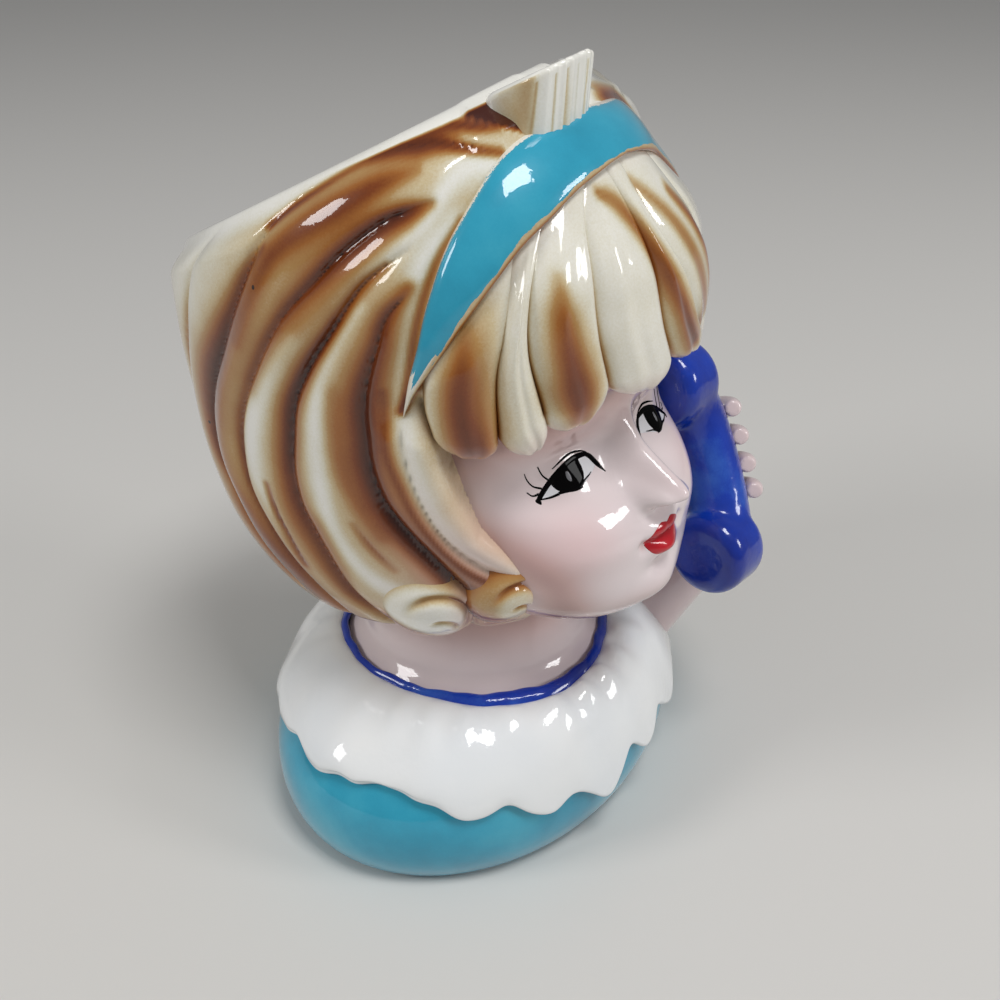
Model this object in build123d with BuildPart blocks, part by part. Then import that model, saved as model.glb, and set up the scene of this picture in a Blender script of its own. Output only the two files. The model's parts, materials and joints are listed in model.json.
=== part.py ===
"""Head planter: a glazed earthenware bust of a girl on the telephone, open at the crown as a plant pot.

Millimetres, +Z up. The girl faces -Y, her left hand and the telephone are on the +X side, and the origin
is the middle of the flat foot. The pot is put together as a potter would: hollow castings for bodice,
neck, face and hair close on flush seams, and solid sprigs (fringe, side locks, curls, headband, arm, hand,
handset) are luted on, each pressed a little way into the piece that carries it.
"""

from build123d import *
from math import copysign, cos, exp, hypot, pi, radians, sin
import os

# Shared by all castings
wall = 4.0
cheek_wall = 5.0
brow_wall = 4.5
bite = 1.0

# Bodice: turquoise shoulders and the foot that the pot stands on
bodice_half_width = 48.5
bodice_half_depth = 39.0
bodice_height = 31.5
bodice_floor = 4.5
bodice_level_shares = (0, 0.1, 0.36, 0.64, 0.88, 1)
bodice_width_shares = (0.925, 0.965, 1, 0.95, 0.8, 0.66)
bodice_depth_shares = (0.9, 0.945, 1, 0.97, 0.88, 0.81)

# Neck
neck_radius = 21.5
neck_flare = 5.0
neck_top = 63.0
neck_bore = 16.5
neck_level_shares = (0, 0.1, 0.3, 1)
neck_flare_shares = (1, 0.5, 0.06, 0)

# Neckline band
band_height = 3.2
band_thickness = 3.2

# Ruffle: it lies over the shoulders; its scalloped edge is given as turns and shares of the bodice's height
ruffle_thickness = 2.2
ruffle_clearance = 2.4
ruffle_profiles = 120
ruffle_crest_share = 0.88
ruffle_edge_turns = (
    -180, -165, -150, -138, -126, -111, -101, -94, -84, -75, -66, -54, -43, -31, -22, -11, -1, 8, 18, 30,
    42, 55, 68, 80, 92, 105, 120, 135, 150, 165, 180,
)
ruffle_edge_shares = (
    0.778, 0.714, 0.794, 0.714, 0.721, 0.765, 0.784, 0.746, 0.79, 0.816, 0.775, 0.673, 0.702, 0.568,
    0.61, 0.457, 0.644, 0.521, 0.654, 0.524, 0.651, 0.556, 0.683, 0.603, 0.73, 0.651, 0.762, 0.683,
    0.778, 0.698, 0.778,
)

# Face: front of the head, from under the chin to under the headband
seam_y = -21.0
face_axis_y = -12.0
face_bottom = 54.0
face_height = 86.0
face_half_width = 30.0
face_depth = 29.0
face_level_shares = (0, 0.035, 0.07, 0.105, 0.14, 0.19, 0.25, 0.31, 0.37, 0.44, 0.52, 0.62, 0.73, 0.83, 0.92, 1)
face_width_shares = (0.4, 0.6, 0.73, 0.81, 0.86, 0.9, 0.93, 0.95, 0.965, 0.98, 0.99, 1, 0.97, 0.9, 0.76, 0.5)
face_front_shares = (0.58, 0.8, 0.9, 0.96, 0.98, 1, 0.99, 0.9, 0.735, 0.675, 0.72, 0.84, 0.86, 0.76, 0.6, 0.38)
face_square_share = 0.86
face_sections = 21
face_crowding_share = 0.5
face_points = 48

# Features of the face: height, place across, reach, half width and half height of each swelling
nose = (83.0, 0.0, 10.0, 3.4, 3.0)
nose_bridge = (89.0, 0.0, 3.8, 3.0, 4.5)
upper_lip = (75.6, 0.0, 1.8, 4.6, 2.2)
lower_lip = (70.6, 0.0, 2.0, 4.0, 2.2)
chin = (62.0, 0.0, 1.8, 7.0, 4.5)
right_eye = (87.0, -11.7, -1.0, 5.0, 3.5)
left_eye = (87.0, 11.7, -1.0, 5.0, 3.5)
features = (nose, nose_bridge, upper_lip, lower_lip, chin, right_eye, left_eye)

# Hair: back and sides of the head, between the hem and the leaning rim
hair_axis_y = 9.0
hair_bottom = 42.0
hair_height = 112.0
hair_half_width = 40.0
hair_half_depth = 46.5
hair_level_shares = (0, 0.1, 0.2, 0.31, 0.43, 0.55, 0.66, 0.76, 0.85, 0.93, 1)
hair_width_shares = (0.52, 0.76, 0.9, 0.97, 1, 1.01, 1, 0.94, 0.82, 0.62, 0.4)
hair_depth_shares = (0.52, 0.76, 0.9, 0.97, 1, 1.01, 1, 0.93, 0.79, 0.57, 0.36)
hair_sections = 36
hair_points = 112
slope_span_share = 0.05
rim_front_y = -22.0
rim_height = 150.0
rim_lean = 25.9
rim_roll = 5.2
hem_back_y = 46.0
hem_height = 44.0
hem_lean = 10.0

# Bowl in the head: its front keeps further back behind the eyes
cavity_level_shares = hair_level_shares[3:]
cavity_setbacks = (2.5, 3.6, 3.6, 2.6, 1, 0, 0, 0)

# Locks: swept arcs, one inside the other, parted by grooves given for one side as turns from the front and
# level shares; each runs back from the crown, down behind the temple and in to the jaw
lock_reliefs = (2.6, 3.2, 3.0, 3.2)
lock_pitch = 13.0
lock_fullness = 2.6
turn_length = 0.75
rim_fade = 8.0
groove_outer = (
    (-20, 0.906), (12, 0.906), (24, 0.897), (33, 0.888), (46, 0.875), (58, 0.866), (69, 0.839),
    (80, 0.795), (87, 0.732), (93, 0.67), (96, 0.598), (98, 0.5), (97, 0.411), (94, 0.33), (88, 0.25),
    (80, 0.161), (72, 0.062), (66, -0.107), (-20, -0.107),
)
groove_middle = (
    (-20, 0.884), (12, 0.884), (24, 0.878), (34, 0.857), (40, 0.835), (46, 0.817), (52, 0.804),
    (60, 0.768), (68, 0.732), (75, 0.679), (80, 0.616), (83, 0.536), (84, 0.473), (83, 0.402),
    (81, 0.33), (77, 0.268), (72, 0.205), (68, 0.134), (61, 0.062), (52, -0.107), (-20, -0.107),
)
groove_inner = (
    (-20, 0.875), (12, 0.872), (23, 0.862), (31, 0.839), (38, 0.808), (44, 0.772), (50, 0.741),
    (55, 0.705), (60, 0.67), (64, 0.607), (66, 0.545), (66, 0.482), (64, 0.42), (59, 0.348), (53, 0.295),
    (48, 0.241), (45, 0.188), (45, 0.107), (46, -0.107), (-20, -0.107),
)
groove_frame = (
    (-20, 0.857), (0, 0.857), (16, 0.848), (24, 0.839), (31, 0.812), (37, 0.786), (42, 0.759),
    (46, 0.723), (49, 0.688), (52, 0.656), (54, 0.625), (57, 0.58), (59, 0.527), (60, 0.491),
    (58, 0.446), (53, 0.393), (45, 0.339), (36, 0.295), (29, 0.25), (26, 0.196), (27, 0.152),
    (31, 0.116), (33, -0.107), (-20, -0.107),
)
grooves = (groove_outer, groove_middle, groove_inner, groove_frame)

# Headband, from its top to the end that tapers away behind the temple
headband_width = 10.5
headband_thickness = 4.4
headband_turns = (0, 12, 23, 31, 38, 44, 49, 53, 55.5)
headband_level_shares = (0.874, 0.871, 0.86, 0.838, 0.806, 0.77, 0.723, 0.672, 0.63)
headband_girth_shares = (1, 1, 0.98, 0.95, 0.9, 0.83, 0.76, 0.66, 0.5)

# Crown tuft: strands that stand between the headband and the rim
tuft_place = -6.0
tuft_half_width = 7.0
tuft_half_depth = 3.6
tuft_strands = 5
tuft_relief = 1.0
tuft_points = 56
tuft_level_shares = (0.87, 0.92, 0.96, 1)
tuft_girth_shares = (0.72, 0.85, 0.95, 1.05)

# Fringe: five broad locks over the brow, from the headband down to their rounded tips
fringe_width = 18.0
fringe_thickness = 5.8
fringe_top_turns = (-46, -27, -6, 15, 35)
fringe_top_shares = (0.725, 0.815, 0.85, 0.84, 0.79)
fringe_tip_turns = (-42, -22, -2, 17, 37)
fringe_tip_shares = (0.485, 0.508, 0.548, 0.545, 0.51)
fringe_run_shares = (0, 0.2, 0.45, 0.7, 0.88, 0.97, 1)
fringe_girth_shares = (0.68, 0.84, 0.97, 1, 0.92, 0.72, 0.45)

# Side locks: the strands that frame the cheeks, from the headband's end down to the front curls
side_lock_width = 10.0
side_lock_thickness = 6.5
side_lock_turns = (57, 58, 57, 53, 46)
side_lock_level_shares = (0.62, 0.53, 0.44, 0.35, 0.28)
side_lock_girth_shares = (0.5, 0.85, 1, 1, 0.75)

# Curls: a roll of hair at each end of the jaw line, and another behind it
curl_turns = (38.0, 58.0)
curl_level_shares = (0.26, 0.21)
curl_radii = (4.4, 5.3)
curl_thicknesses = (8.6, 10.2)
curl_flat_share = 0.72
curl_start = 120.0
curl_sweep = 280.0
curl_stations = 10
curl_tip_share = 0.5

# Telephone handset
handset_width_share = 0.76
handset_depth_share = -0.69
handset_level_share = 0.235
handset_span = 35.0
handset_tilt = 27.0
handset_roll = 6.0
handset_bow = 5.0
grip_width = 13.0
grip_thickness = 12.0
cup_radius = 8.6
cup_length = 12.0
cup_round = 3.0
grip_run_shares = (-0.5, -0.3, 0, 0.3, 0.5)
grip_bow_shares = (0, 0.7, 1, 0.7, 0)
grip_girth_shares = (1.2, 1.05, 1, 1.05, 1.2)

# Hand: palm on the far side of the grip, fingers round the front of it, thumb round the back
palm_turn = 230
palm_width = 14.0
palm_thickness = 6.5
palm_run_shares = (-0.55, -0.3, 0, 0.25, 0.42)
palm_girth_shares = (0.75, 1, 1, 0.9, 0.5)
finger_thickness = 4.6
finger_names = ("little", "ring", "middle", "index")
finger_place_shares = (-0.25, -0.09, 0.08, 0.25)
finger_turns = (212, 180, 148, 118)
finger_girth_shares = (0.9, 1, 0.95, 0.7)
thumb_turns = (245, 262, 280)
thumb_place_shares = (0, 0.12, 0.25)
thumb_girth_shares = (1, 1.1, 0.8)

# Forearm: from the shoulder under the ruffle up to the wrist
forearm_thickness = 12.0
forearm_girth_shares = (1.2, 1.05, 0.9, 0.8)
elbow_width_share = 0.64
elbow_depth_share = -0.5
elbow_height_share = 0.6
forearm_swell = 1.5

part_folder = "parts"


def between(low, high, share):
    """The value that lies share of the way from low to high."""
    return low + (high - low) * share


def look_up(share, shares, values):
    """Straight-line reading of a table of values at the given share."""
    for i in range(len(shares) - 1):
        if share <= shares[i + 1]:
            step = (share - shares[i]) / (shares[i + 1] - shares[i])
            return between(values[i], values[i + 1], max(step, 0))
    return values[-1]


def closed_curve(points):
    """A smooth closed curve through points, with evenly counted knots so that stacked curves loft cleanly."""
    count = len(points)
    return Edge.make_spline(
        [Vector(*point) for point in points],
        periodic=True,
        parameters=[i / count for i in range(count + 1)],
    )


def hair_oval(share):
    """Height, half width and half depth of the plain hair form at a share of its height."""
    width = hair_half_width * look_up(share, hair_level_shares, hair_width_shares)
    depth = hair_half_depth * look_up(share, hair_level_shares, hair_depth_shares)
    return hair_bottom + hair_height * share, width, depth


def hair_point(turn, share, lift=0):
    """A point lift outside the plain hair form; turn runs from the front, 0, to the left, 90 degrees."""
    height, width, depth = hair_oval(share)
    x = (width + lift) * sin(radians(turn))
    y = hair_axis_y - (depth + lift) * cos(radians(turn))
    return Vector(x, y, height)


def hair_outward(turn, share):
    """Direction straight out of the plain hair form, from its slope over a band of its height."""
    low_height, low_width, low_depth = hair_oval(share - slope_span_share)
    high_height, high_width, high_depth = hair_oval(share + slope_span_share)
    shrink = (low_width + low_depth - high_width - high_depth) / 2
    rise = shrink / (high_height - low_height)
    return Vector(sin(radians(turn)), -cos(radians(turn)), rise).normalized()


def oval_sections(route, outward, widths, depths):
    """Flattened ovals square to a route of points; outward gives the short side of each."""
    sections = []
    for i, point in enumerate(route):
        along = (route[min(i + 1, len(route) - 1)] - route[max(i - 1, 0)]).normalized()
        across = along.cross(outward[i]).normalized()
        with BuildSketch(Plane(origin=point, x_dir=across, z_dir=along)) as section:
            Ellipse(widths[i] / 2, depths[i] / 2)
        sections.append(section.sketch)
    return sections


def lock_sections(turns, shares, width, thickness, girths):
    """Ovals of a lock that lies on the hair form, pressed into it by the bite."""
    lift = thickness / 2 - bite
    route = [hair_point(turn, share, lift) for turn, share in zip(turns, shares)]
    outward = [hair_outward(turn, share) for turn, share in zip(turns, shares)]
    return oval_sections(route, outward, [width * g for g in girths], [thickness * g for g in girths])


def squarer(value):
    """Sine or cosine drawn out towards its limits, which makes an oval's front and sides flatter."""
    return copysign(abs(value) ** face_square_share, value)


def face_outline(share):
    """Height and closed outline of the face at one level: an oval with the features swelling out of it."""
    height = face_bottom + face_height * share
    width = face_half_width * look_up(share, face_level_shares, face_width_shares)
    depth = face_depth * look_up(share, face_level_shares, face_front_shares)
    points = []
    for i in range(face_points):
        turn = 2 * pi * i / face_points
        angle = turn - face_crowding_share * sin(turn)
        x = width * squarer(sin(angle))
        y = face_axis_y - depth * squarer(cos(angle))
        if cos(angle) > 0:
            for level, place, reach, spread, tallness in features:
                across = (x - place) / spread
                up = (height - level) / tallness
                y -= reach * exp(-across * across - up * up)
        points.append((x, y))
    return height, points


def soft_step(value, low, high):
    """0 up to low, 1 from high on, and a soft rise between."""
    share = min(max((value - low) / (high - low), 0), 1)
    return share * share * (3 - 2 * share)


def groove_distance(turn, share, groove):
    """Distance from a place on the hair to a groove."""
    nearest = hair_height
    for (turn_1, share_1), (turn_2, share_2) in zip(groove[:-1], groove[1:]):
        run, rise = (turn_2 - turn_1) * turn_length, (share_2 - share_1) * hair_height
        out, up = (turn - turn_1) * turn_length, (share - share_1) * hair_height
        part = min(max((out * run + up * rise) / (run * run + rise * rise), 0), 1)
        nearest = min(nearest, hypot(out - part * run, up - part * rise))
    return nearest


def inside_groove(turn, share, groove):
    """Whether a place on the hair lies on the face side of a groove."""
    inside = False
    for (turn_1, share_1), (turn_2, share_2) in zip(groove, groove[1:] + groove[:1]):
        if (share_1 > share) != (share_2 > share):
            if turn < turn_1 + (share - share_1) * (turn_2 - turn_1) / (share_2 - share_1):
                inside = not inside
    return inside


def lock_relief(turn, share):
    """How far the locks swell out of the plain hair form: rounded backs with narrow grooves between."""
    distances = [groove_distance(turn, share, groove[:-1]) for groove in grooves]
    depth = sum(inside_groove(turn, share, groove) for groove in grooves)
    if depth == 0:
        part = distances[0] / lock_pitch % 1
    elif depth < len(grooves):
        part = distances[depth - 1] / (distances[depth - 1] + distances[depth])
    else:
        return 0
    return lock_reliefs[depth] * max(1 - abs(2 * part - 1) ** lock_fullness, 0) ** 0.8


def hair_outline(share):
    """Height and closed outline of the hair at one level, with the locks swelling out of it."""
    height, width, depth = hair_oval(share)
    points = []
    for i in range(hair_points):
        angle = 2 * pi * i / hair_points
        turn = min(angle, 2 * pi - angle) * 180 / pi
        x = width * sin(angle)
        y = hair_axis_y - depth * cos(angle)
        below_rim = (rim_plane.origin - Vector(x, y, height)).dot(rim_plane.z_dir)
        swell = lock_relief(turn, share) * soft_step(below_rim, 0, rim_fade)
        points.append((x + swell * sin(angle), y - swell * cos(angle)))
    return height, points


def bodice_reach(turn, share):
    """Distance from the axis to the bodice's surface at a turn and a share of its height."""
    width = bodice_half_width * look_up(share, bodice_level_shares, bodice_width_shares)
    depth = bodice_half_depth * look_up(share, bodice_level_shares, bodice_depth_shares)
    return 1 / hypot(sin(turn) / width, cos(turn) / depth)


def ruffle_section(turn):
    """Cross-section of the ruffle at one turn round the neck, from the neckline to the scalloped edge."""
    direction = Vector(sin(turn), -cos(turn), 0)
    plane = Plane(origin=(0, 0, 0), x_dir=direction, z_dir=direction.cross(Vector(0, 0, 1)))
    start = neck_radius + neck_flare + band_thickness - bite
    edge = look_up((turn * 180 / pi + 180) % 360 - 180, ruffle_edge_turns, ruffle_edge_shares)
    upper = [
        (start, bodice_height + ruffle_thickness),
        (bodice_reach(turn, 1), bodice_height + ruffle_thickness),
        (
            bodice_reach(turn, ruffle_crest_share) + ruffle_thickness / 2,
            bodice_height * ruffle_crest_share + ruffle_thickness,
        ),
        (bodice_reach(turn, edge) + ruffle_clearance, bodice_height * edge),
    ]
    lower = [
        (start, bodice_height),
        (bodice_reach(turn, 1), bodice_height),
        (bodice_reach(turn, ruffle_crest_share), bodice_height * ruffle_crest_share),
        (bodice_reach(turn, edge), bodice_height * edge - ruffle_thickness / 4),
    ]
    with BuildSketch(plane) as section:
        with BuildLine():
            Spline(*upper)
            Line(upper[-1], lower[-1])
            Spline(*reversed(lower))
            Line(lower[0], upper[0])
        make_face()
    return section.sketch


# Planes and forms that several pieces are cut with
rim_plane = Plane(
    origin=(0, rim_front_y, rim_height),
    z_dir=(
        -sin(radians(rim_roll)),
        cos(radians(rim_roll)) * sin(radians(rim_lean)),
        cos(radians(rim_roll)) * cos(radians(rim_lean)),
    ),
)
hem_plane = Plane(
    origin=(0, hem_back_y, hem_height),
    z_dir=(0, sin(radians(hem_lean)), cos(radians(hem_lean))),
)

with BuildPart() as neck_form:
    for level, flare in zip(neck_level_shares, neck_flare_shares):
        with BuildSketch(Plane.XY.offset(between(bodice_height, neck_top, level))):
            Circle(neck_radius + neck_flare * flare)
    loft()

with BuildPart() as cavity:
    with BuildSketch(Plane.XY.offset(neck_top - wall)):
        Circle(neck_bore)
    for share, setback in zip(cavity_level_shares, cavity_setbacks):
        height, width, depth = hair_oval(share)
        with BuildSketch(Plane.XY.offset(height)):
            with Locations((0, hair_axis_y + setback)):
                Ellipse(width - cheek_wall, depth - brow_wall - setback)
    loft()

with BuildPart() as bodice_form:
    for level, width, depth in zip(bodice_level_shares, bodice_width_shares, bodice_depth_shares):
        with BuildSketch(Plane.XY.offset(bodice_height * level)):
            Ellipse(bodice_half_width * width, bodice_half_depth * depth)
    loft()

# Castings
with BuildPart() as bodice:
    add(bodice_form.part)
    for level, width, depth in list(zip(bodice_level_shares, bodice_width_shares, bodice_depth_shares))[1:-1]:
        with BuildSketch(Plane.XY.offset(between(bodice_floor, bodice_height - wall, level))):
            Ellipse(bodice_half_width * width - wall, bodice_half_depth * depth - wall)
    loft(mode=Mode.SUBTRACT)
    with BuildSketch(Plane.XY.offset(bodice_height / 2)):
        Circle(neck_bore)
    extrude(amount=bodice_height, mode=Mode.SUBTRACT)
bodice.part.label = "bodice"

with BuildPart() as neck:
    add(neck_form.part)
    with BuildSketch(Plane.XY.offset(bodice_height)):
        Circle(neck_bore)
    extrude(amount=neck_top - bodice_height, mode=Mode.SUBTRACT)
neck.part.label = "neck"

with BuildPart() as face:
    for i in range(face_sections):
        height, points = face_outline(i / (face_sections - 1))
        with BuildSketch(Plane.XY.offset(height)):
            with BuildLine():
                add(closed_curve(points))
            make_face()
    loft()
    split(bisect_by=Plane.XZ.offset(-seam_y), keep=Keep.TOP)
    add(cavity.part, mode=Mode.SUBTRACT)
    add(neck_form.part, mode=Mode.SUBTRACT)
face.part.label = "face"

with BuildPart() as hair:
    for i in range(hair_sections):
        height, points = hair_outline(i / (hair_sections - 1))
        with BuildSketch(Plane.XY.offset(height)):
            with BuildLine():
                add(closed_curve(points))
            make_face()
    loft()
    split(bisect_by=Plane.XZ.offset(-seam_y), keep=Keep.BOTTOM)
    split(bisect_by=rim_plane, keep=Keep.BOTTOM)
    split(bisect_by=hem_plane, keep=Keep.TOP)
    add(cavity.part, mode=Mode.SUBTRACT)
    add(neck_form.part, mode=Mode.SUBTRACT)
hair.part.label = "hair"

# Dress trim
with BuildPart() as neckline_band:
    with BuildSketch(Plane.XZ):
        with Locations((neck_radius + neck_flare + band_thickness / 2, bodice_height)):
            Ellipse(band_thickness / 2, band_height)
    revolve(axis=Axis.Z)
    split(bisect_by=Plane.XY.offset(bodice_height), keep=Keep.TOP)
neckline_band.part.label = "neckline_band"

with BuildPart() as ruffle:
    half_count = ruffle_profiles // 2
    for half in range(2):
        turns = [pi * (half + i / half_count) for i in range(half_count + 1)]
        loft(sections=[ruffle_section(turn) for turn in turns])
ruffle.part.label = "ruffle"

# Hair dressing
with BuildPart() as headband:
    turns = [-turn for turn in reversed(headband_turns[1:])] + list(headband_turns)
    shares = list(reversed(headband_level_shares[1:])) + list(headband_level_shares)
    girths = list(reversed(headband_girth_shares[1:])) + list(headband_girth_shares)
    loft(sections=lock_sections(turns, shares, headband_width, headband_thickness, girths))
headband.part.label = "headband"

with BuildPart() as crown_tuft:
    for share, girth in zip(tuft_level_shares, tuft_girth_shares):
        height, width, depth = hair_oval(share)
        points = []
        for i in range(tuft_points):
            angle = 2 * pi * i / tuft_points
            swell = tuft_relief * cos(tuft_strands * angle) * max(cos(angle), 0)
            x = tuft_place + girth * tuft_half_width * sin(angle)
            y = rim_front_y + bite - (tuft_half_depth + swell) * cos(angle)
            points.append((x, y))
        with BuildSketch(Plane.XY.offset(height)):
            with BuildLine():
                add(closed_curve(points))
            make_face()
    loft()
    split(bisect_by=rim_plane, keep=Keep.BOTTOM)
crown_tuft.part.label = "crown_tuft"

fringe_locks = []
for k in range(len(fringe_tip_turns)):
    turns = [between(fringe_top_turns[k], fringe_tip_turns[k], run) for run in fringe_run_shares]
    shares = [between(fringe_top_shares[k], fringe_tip_shares[k], run) for run in fringe_run_shares]
    with BuildPart() as fringe_lock:
        loft(sections=lock_sections(turns, shares, fringe_width, fringe_thickness, fringe_girth_shares))
    fringe_lock.part.label = f"fringe_lock_{k + 1}"
    fringe_locks.append(fringe_lock)

side_locks = []
for side, side_name in ((-1, "right"), (1, "left")):
    turns = [side * turn for turn in side_lock_turns]
    with BuildPart() as side_lock:
        sections = lock_sections(
            turns, side_lock_level_shares, side_lock_width, side_lock_thickness, side_lock_girth_shares
        )
        loft(sections=sections)
    side_lock.part.label = f"side_lock_{side_name}"
    side_locks.append(side_lock)

curls = []
for k, place_name in enumerate(("front", "back")):
    outward = hair_outward(-curl_turns[k], curl_level_shares[k])
    centre = hair_point(-curl_turns[k], curl_level_shares[k], curl_thicknesses[k] * curl_flat_share / 2 - bite)
    forward = Vector(cos(radians(curl_turns[k])), -sin(radians(curl_turns[k])), 0)
    upward = Vector(0, 0, 1)
    route = []
    girths = []
    for i in range(curl_stations):
        run = i / (curl_stations - 1)
        angle = radians(curl_start + curl_sweep * run)
        route.append(centre + (forward * cos(angle) + upward * sin(angle)) * curl_radii[k])
        girths.append(curl_thicknesses[k] * between(1, curl_tip_share, run))
    depths = [girth * curl_flat_share for girth in girths]
    with BuildPart() as curl:
        loft(sections=oval_sections(route, [outward] * curl_stations, girths, depths))
    curl.part.label = f"curl_right_{place_name}"
    with BuildPart() as twin:
        mirror(curl.part, about=Plane.YZ)
    twin.part.label = f"curl_left_{place_name}"
    curls += [curl, twin]

# Telephone
handset_axis = Vector(
    sin(radians(handset_roll)),
    cos(radians(handset_roll)) * sin(radians(handset_tilt)),
    cos(radians(handset_roll)) * cos(radians(handset_tilt)),
)
toward_head = (Vector(-1, 0, 0) + handset_axis * handset_axis.X).normalized()
handset_plane = Plane(
    origin=(
        hair_half_width * handset_width_share,
        hair_half_depth * handset_depth_share,
        hair_bottom + hair_height * handset_level_share,
    ),
    x_dir=toward_head,
    z_dir=handset_axis,
)


def round_grip(turn, out, along):
    """A point round the grip: turn from the head, 0, past the front, 90 degrees, to the far side, 180."""
    x = out * cos(radians(turn)) - handset_bow
    y = out * sin(radians(turn))
    return handset_plane.from_local_coords(Vector(x, y, along))


with BuildPart() as handset:
    route = [
        handset_plane.from_local_coords(Vector(-handset_bow * bow, 0, handset_span * run))
        for run, bow in zip(grip_run_shares, grip_bow_shares)
    ]
    widths = [grip_width * girth for girth in grip_girth_shares]
    depths = [grip_thickness * girth for girth in grip_girth_shares]
    loft(sections=oval_sections(route, [toward_head] * len(route), widths, depths))
    for end in (-1, 1):
        cup_back = handset_plane.from_local_coords(Vector(-grip_thickness / 2, 0, end * handset_span / 2))
        with BuildSketch(Plane(origin=cup_back, x_dir=toward_head, z_dir=toward_head.cross(handset_axis))) as cup:
            with Locations((cup_length / 2, cup_radius / 2)):
                Rectangle(cup_length, cup_radius)
            fillet(cup.vertices().group_by(Axis.Y)[-1], radius=cup_round)
        revolve(axis=Axis(cup_back, toward_head))
handset.part.label = "handset"

# Hand and arm
palm_out = grip_thickness / 2 + palm_thickness / 2 - bite
with BuildPart() as palm:
    route = [round_grip(palm_turn, palm_out, handset_span * run) for run in palm_run_shares]
    palm_outward = (round_grip(palm_turn, 1, 0) - round_grip(palm_turn, 0, 0)).normalized()
    widths = [palm_width * girth for girth in palm_girth_shares]
    depths = [palm_thickness * girth for girth in palm_girth_shares]
    loft(sections=oval_sections(route, [palm_outward] * len(route), widths, depths))
palm.part.label = "palm"

fingers = []
finger_out = (grip_width + grip_thickness) / 4 + finger_thickness / 2 - bite
for name, place in zip(finger_names, finger_place_shares):
    route = [round_grip(turn, finger_out, handset_span * place) for turn in finger_turns]
    girths = [finger_thickness * girth for girth in finger_girth_shares]
    with BuildPart() as finger:
        loft(sections=oval_sections(route, [handset_axis] * len(route), girths, girths))
    finger.part.label = f"{name}_finger"
    fingers.append(finger)

with BuildPart() as thumb:
    route = [
        round_grip(turn, finger_out, handset_span * place)
        for turn, place in zip(thumb_turns, thumb_place_shares)
    ]
    girths = [finger_thickness * girth for girth in thumb_girth_shares]
    loft(sections=oval_sections(route, [handset_axis] * len(route), girths, girths))
thumb.part.label = "thumb"

with BuildPart() as forearm:
    elbow = Vector(
        bodice_half_width * elbow_width_share,
        bodice_half_depth * elbow_depth_share,
        bodice_height * elbow_height_share,
    )
    wrist = round_grip(palm_turn, palm_out, handset_span * palm_run_shares[0])
    route = []
    for i in range(len(forearm_girth_shares)):
        run = i / (len(forearm_girth_shares) - 1)
        route.append(elbow + (wrist - elbow) * run + Vector(forearm_swell * sin(pi * run), 0, 0))
    girths = [forearm_thickness * girth for girth in forearm_girth_shares]
    loft(sections=oval_sections(route, [Vector(1, 0, 0)] * len(route), girths, girths))
forearm.part.label = "forearm"

pieces = [bodice, neck, face, hair, neckline_band, ruffle, headband, crown_tuft]
pieces += fringe_locks + side_locks + curls + [handset, palm, thumb, forearm] + fingers

os.makedirs(part_folder, exist_ok=True)
for piece in pieces:
    export_step(piece.part, f"{part_folder}/{piece.part.label}.step")
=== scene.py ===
"""Looks of the head planter: airbrushed and brushed glazes over a slip-cast bust, on a pale studio floor."""

import bpy
import json
import numpy as np
from math import cos, pi, radians, sin
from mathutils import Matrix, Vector

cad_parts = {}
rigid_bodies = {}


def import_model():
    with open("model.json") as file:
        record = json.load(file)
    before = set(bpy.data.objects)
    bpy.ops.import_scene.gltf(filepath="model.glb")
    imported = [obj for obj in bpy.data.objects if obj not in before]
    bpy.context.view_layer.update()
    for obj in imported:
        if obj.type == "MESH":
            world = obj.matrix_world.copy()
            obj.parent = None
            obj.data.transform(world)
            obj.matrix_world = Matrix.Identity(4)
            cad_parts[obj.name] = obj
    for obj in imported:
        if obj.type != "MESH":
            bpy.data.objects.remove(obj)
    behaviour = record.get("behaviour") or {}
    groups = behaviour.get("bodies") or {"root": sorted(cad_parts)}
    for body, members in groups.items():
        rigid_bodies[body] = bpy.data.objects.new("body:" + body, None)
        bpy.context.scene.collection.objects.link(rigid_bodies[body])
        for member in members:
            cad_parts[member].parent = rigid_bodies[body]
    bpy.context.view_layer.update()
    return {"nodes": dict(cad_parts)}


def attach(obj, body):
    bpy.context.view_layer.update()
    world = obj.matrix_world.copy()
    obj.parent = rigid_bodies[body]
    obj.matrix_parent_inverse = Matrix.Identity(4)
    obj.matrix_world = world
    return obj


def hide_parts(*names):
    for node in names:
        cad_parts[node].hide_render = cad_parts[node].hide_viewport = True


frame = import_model()
for thing in bpy.data.objects:
    thing.select_set(False)

# Lengths below are millimetres and become metres when a mesh is written; turns are degrees from the front
MM = 0.001

# Form of the head, the same as the castings under it
hair_axis = 9.0
hair_bottom = 42.0
hair_height = 112.0
hair_half_width = 40.0
hair_half_depth = 46.5
hair_levels = (0, 0.1, 0.2, 0.31, 0.43, 0.55, 0.66, 0.76, 0.85, 0.93, 1)
hair_widths = (0.52, 0.76, 0.9, 0.97, 1, 1.01, 1, 0.94, 0.82, 0.62, 0.4)
hair_depths = (0.52, 0.76, 0.9, 0.97, 1, 1.01, 1, 0.93, 0.79, 0.57, 0.36)
rim_front = -22.0
rim_height = 150.4
rim_lean = radians(25.9)
rim_roll = radians(5.2)
hem_back = 46.0
hem_height = 44.0
hem_lean = radians(10)
rim_wall = 3.8
rim_fall = 1.2
bowl_floor = 60.0
neck_hole = 17.5
tuft_foot = 139.0
plain_lift = 3.2
bed_lift = -0.8
window_lift = -2.2
arc_scale = 0.75

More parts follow.
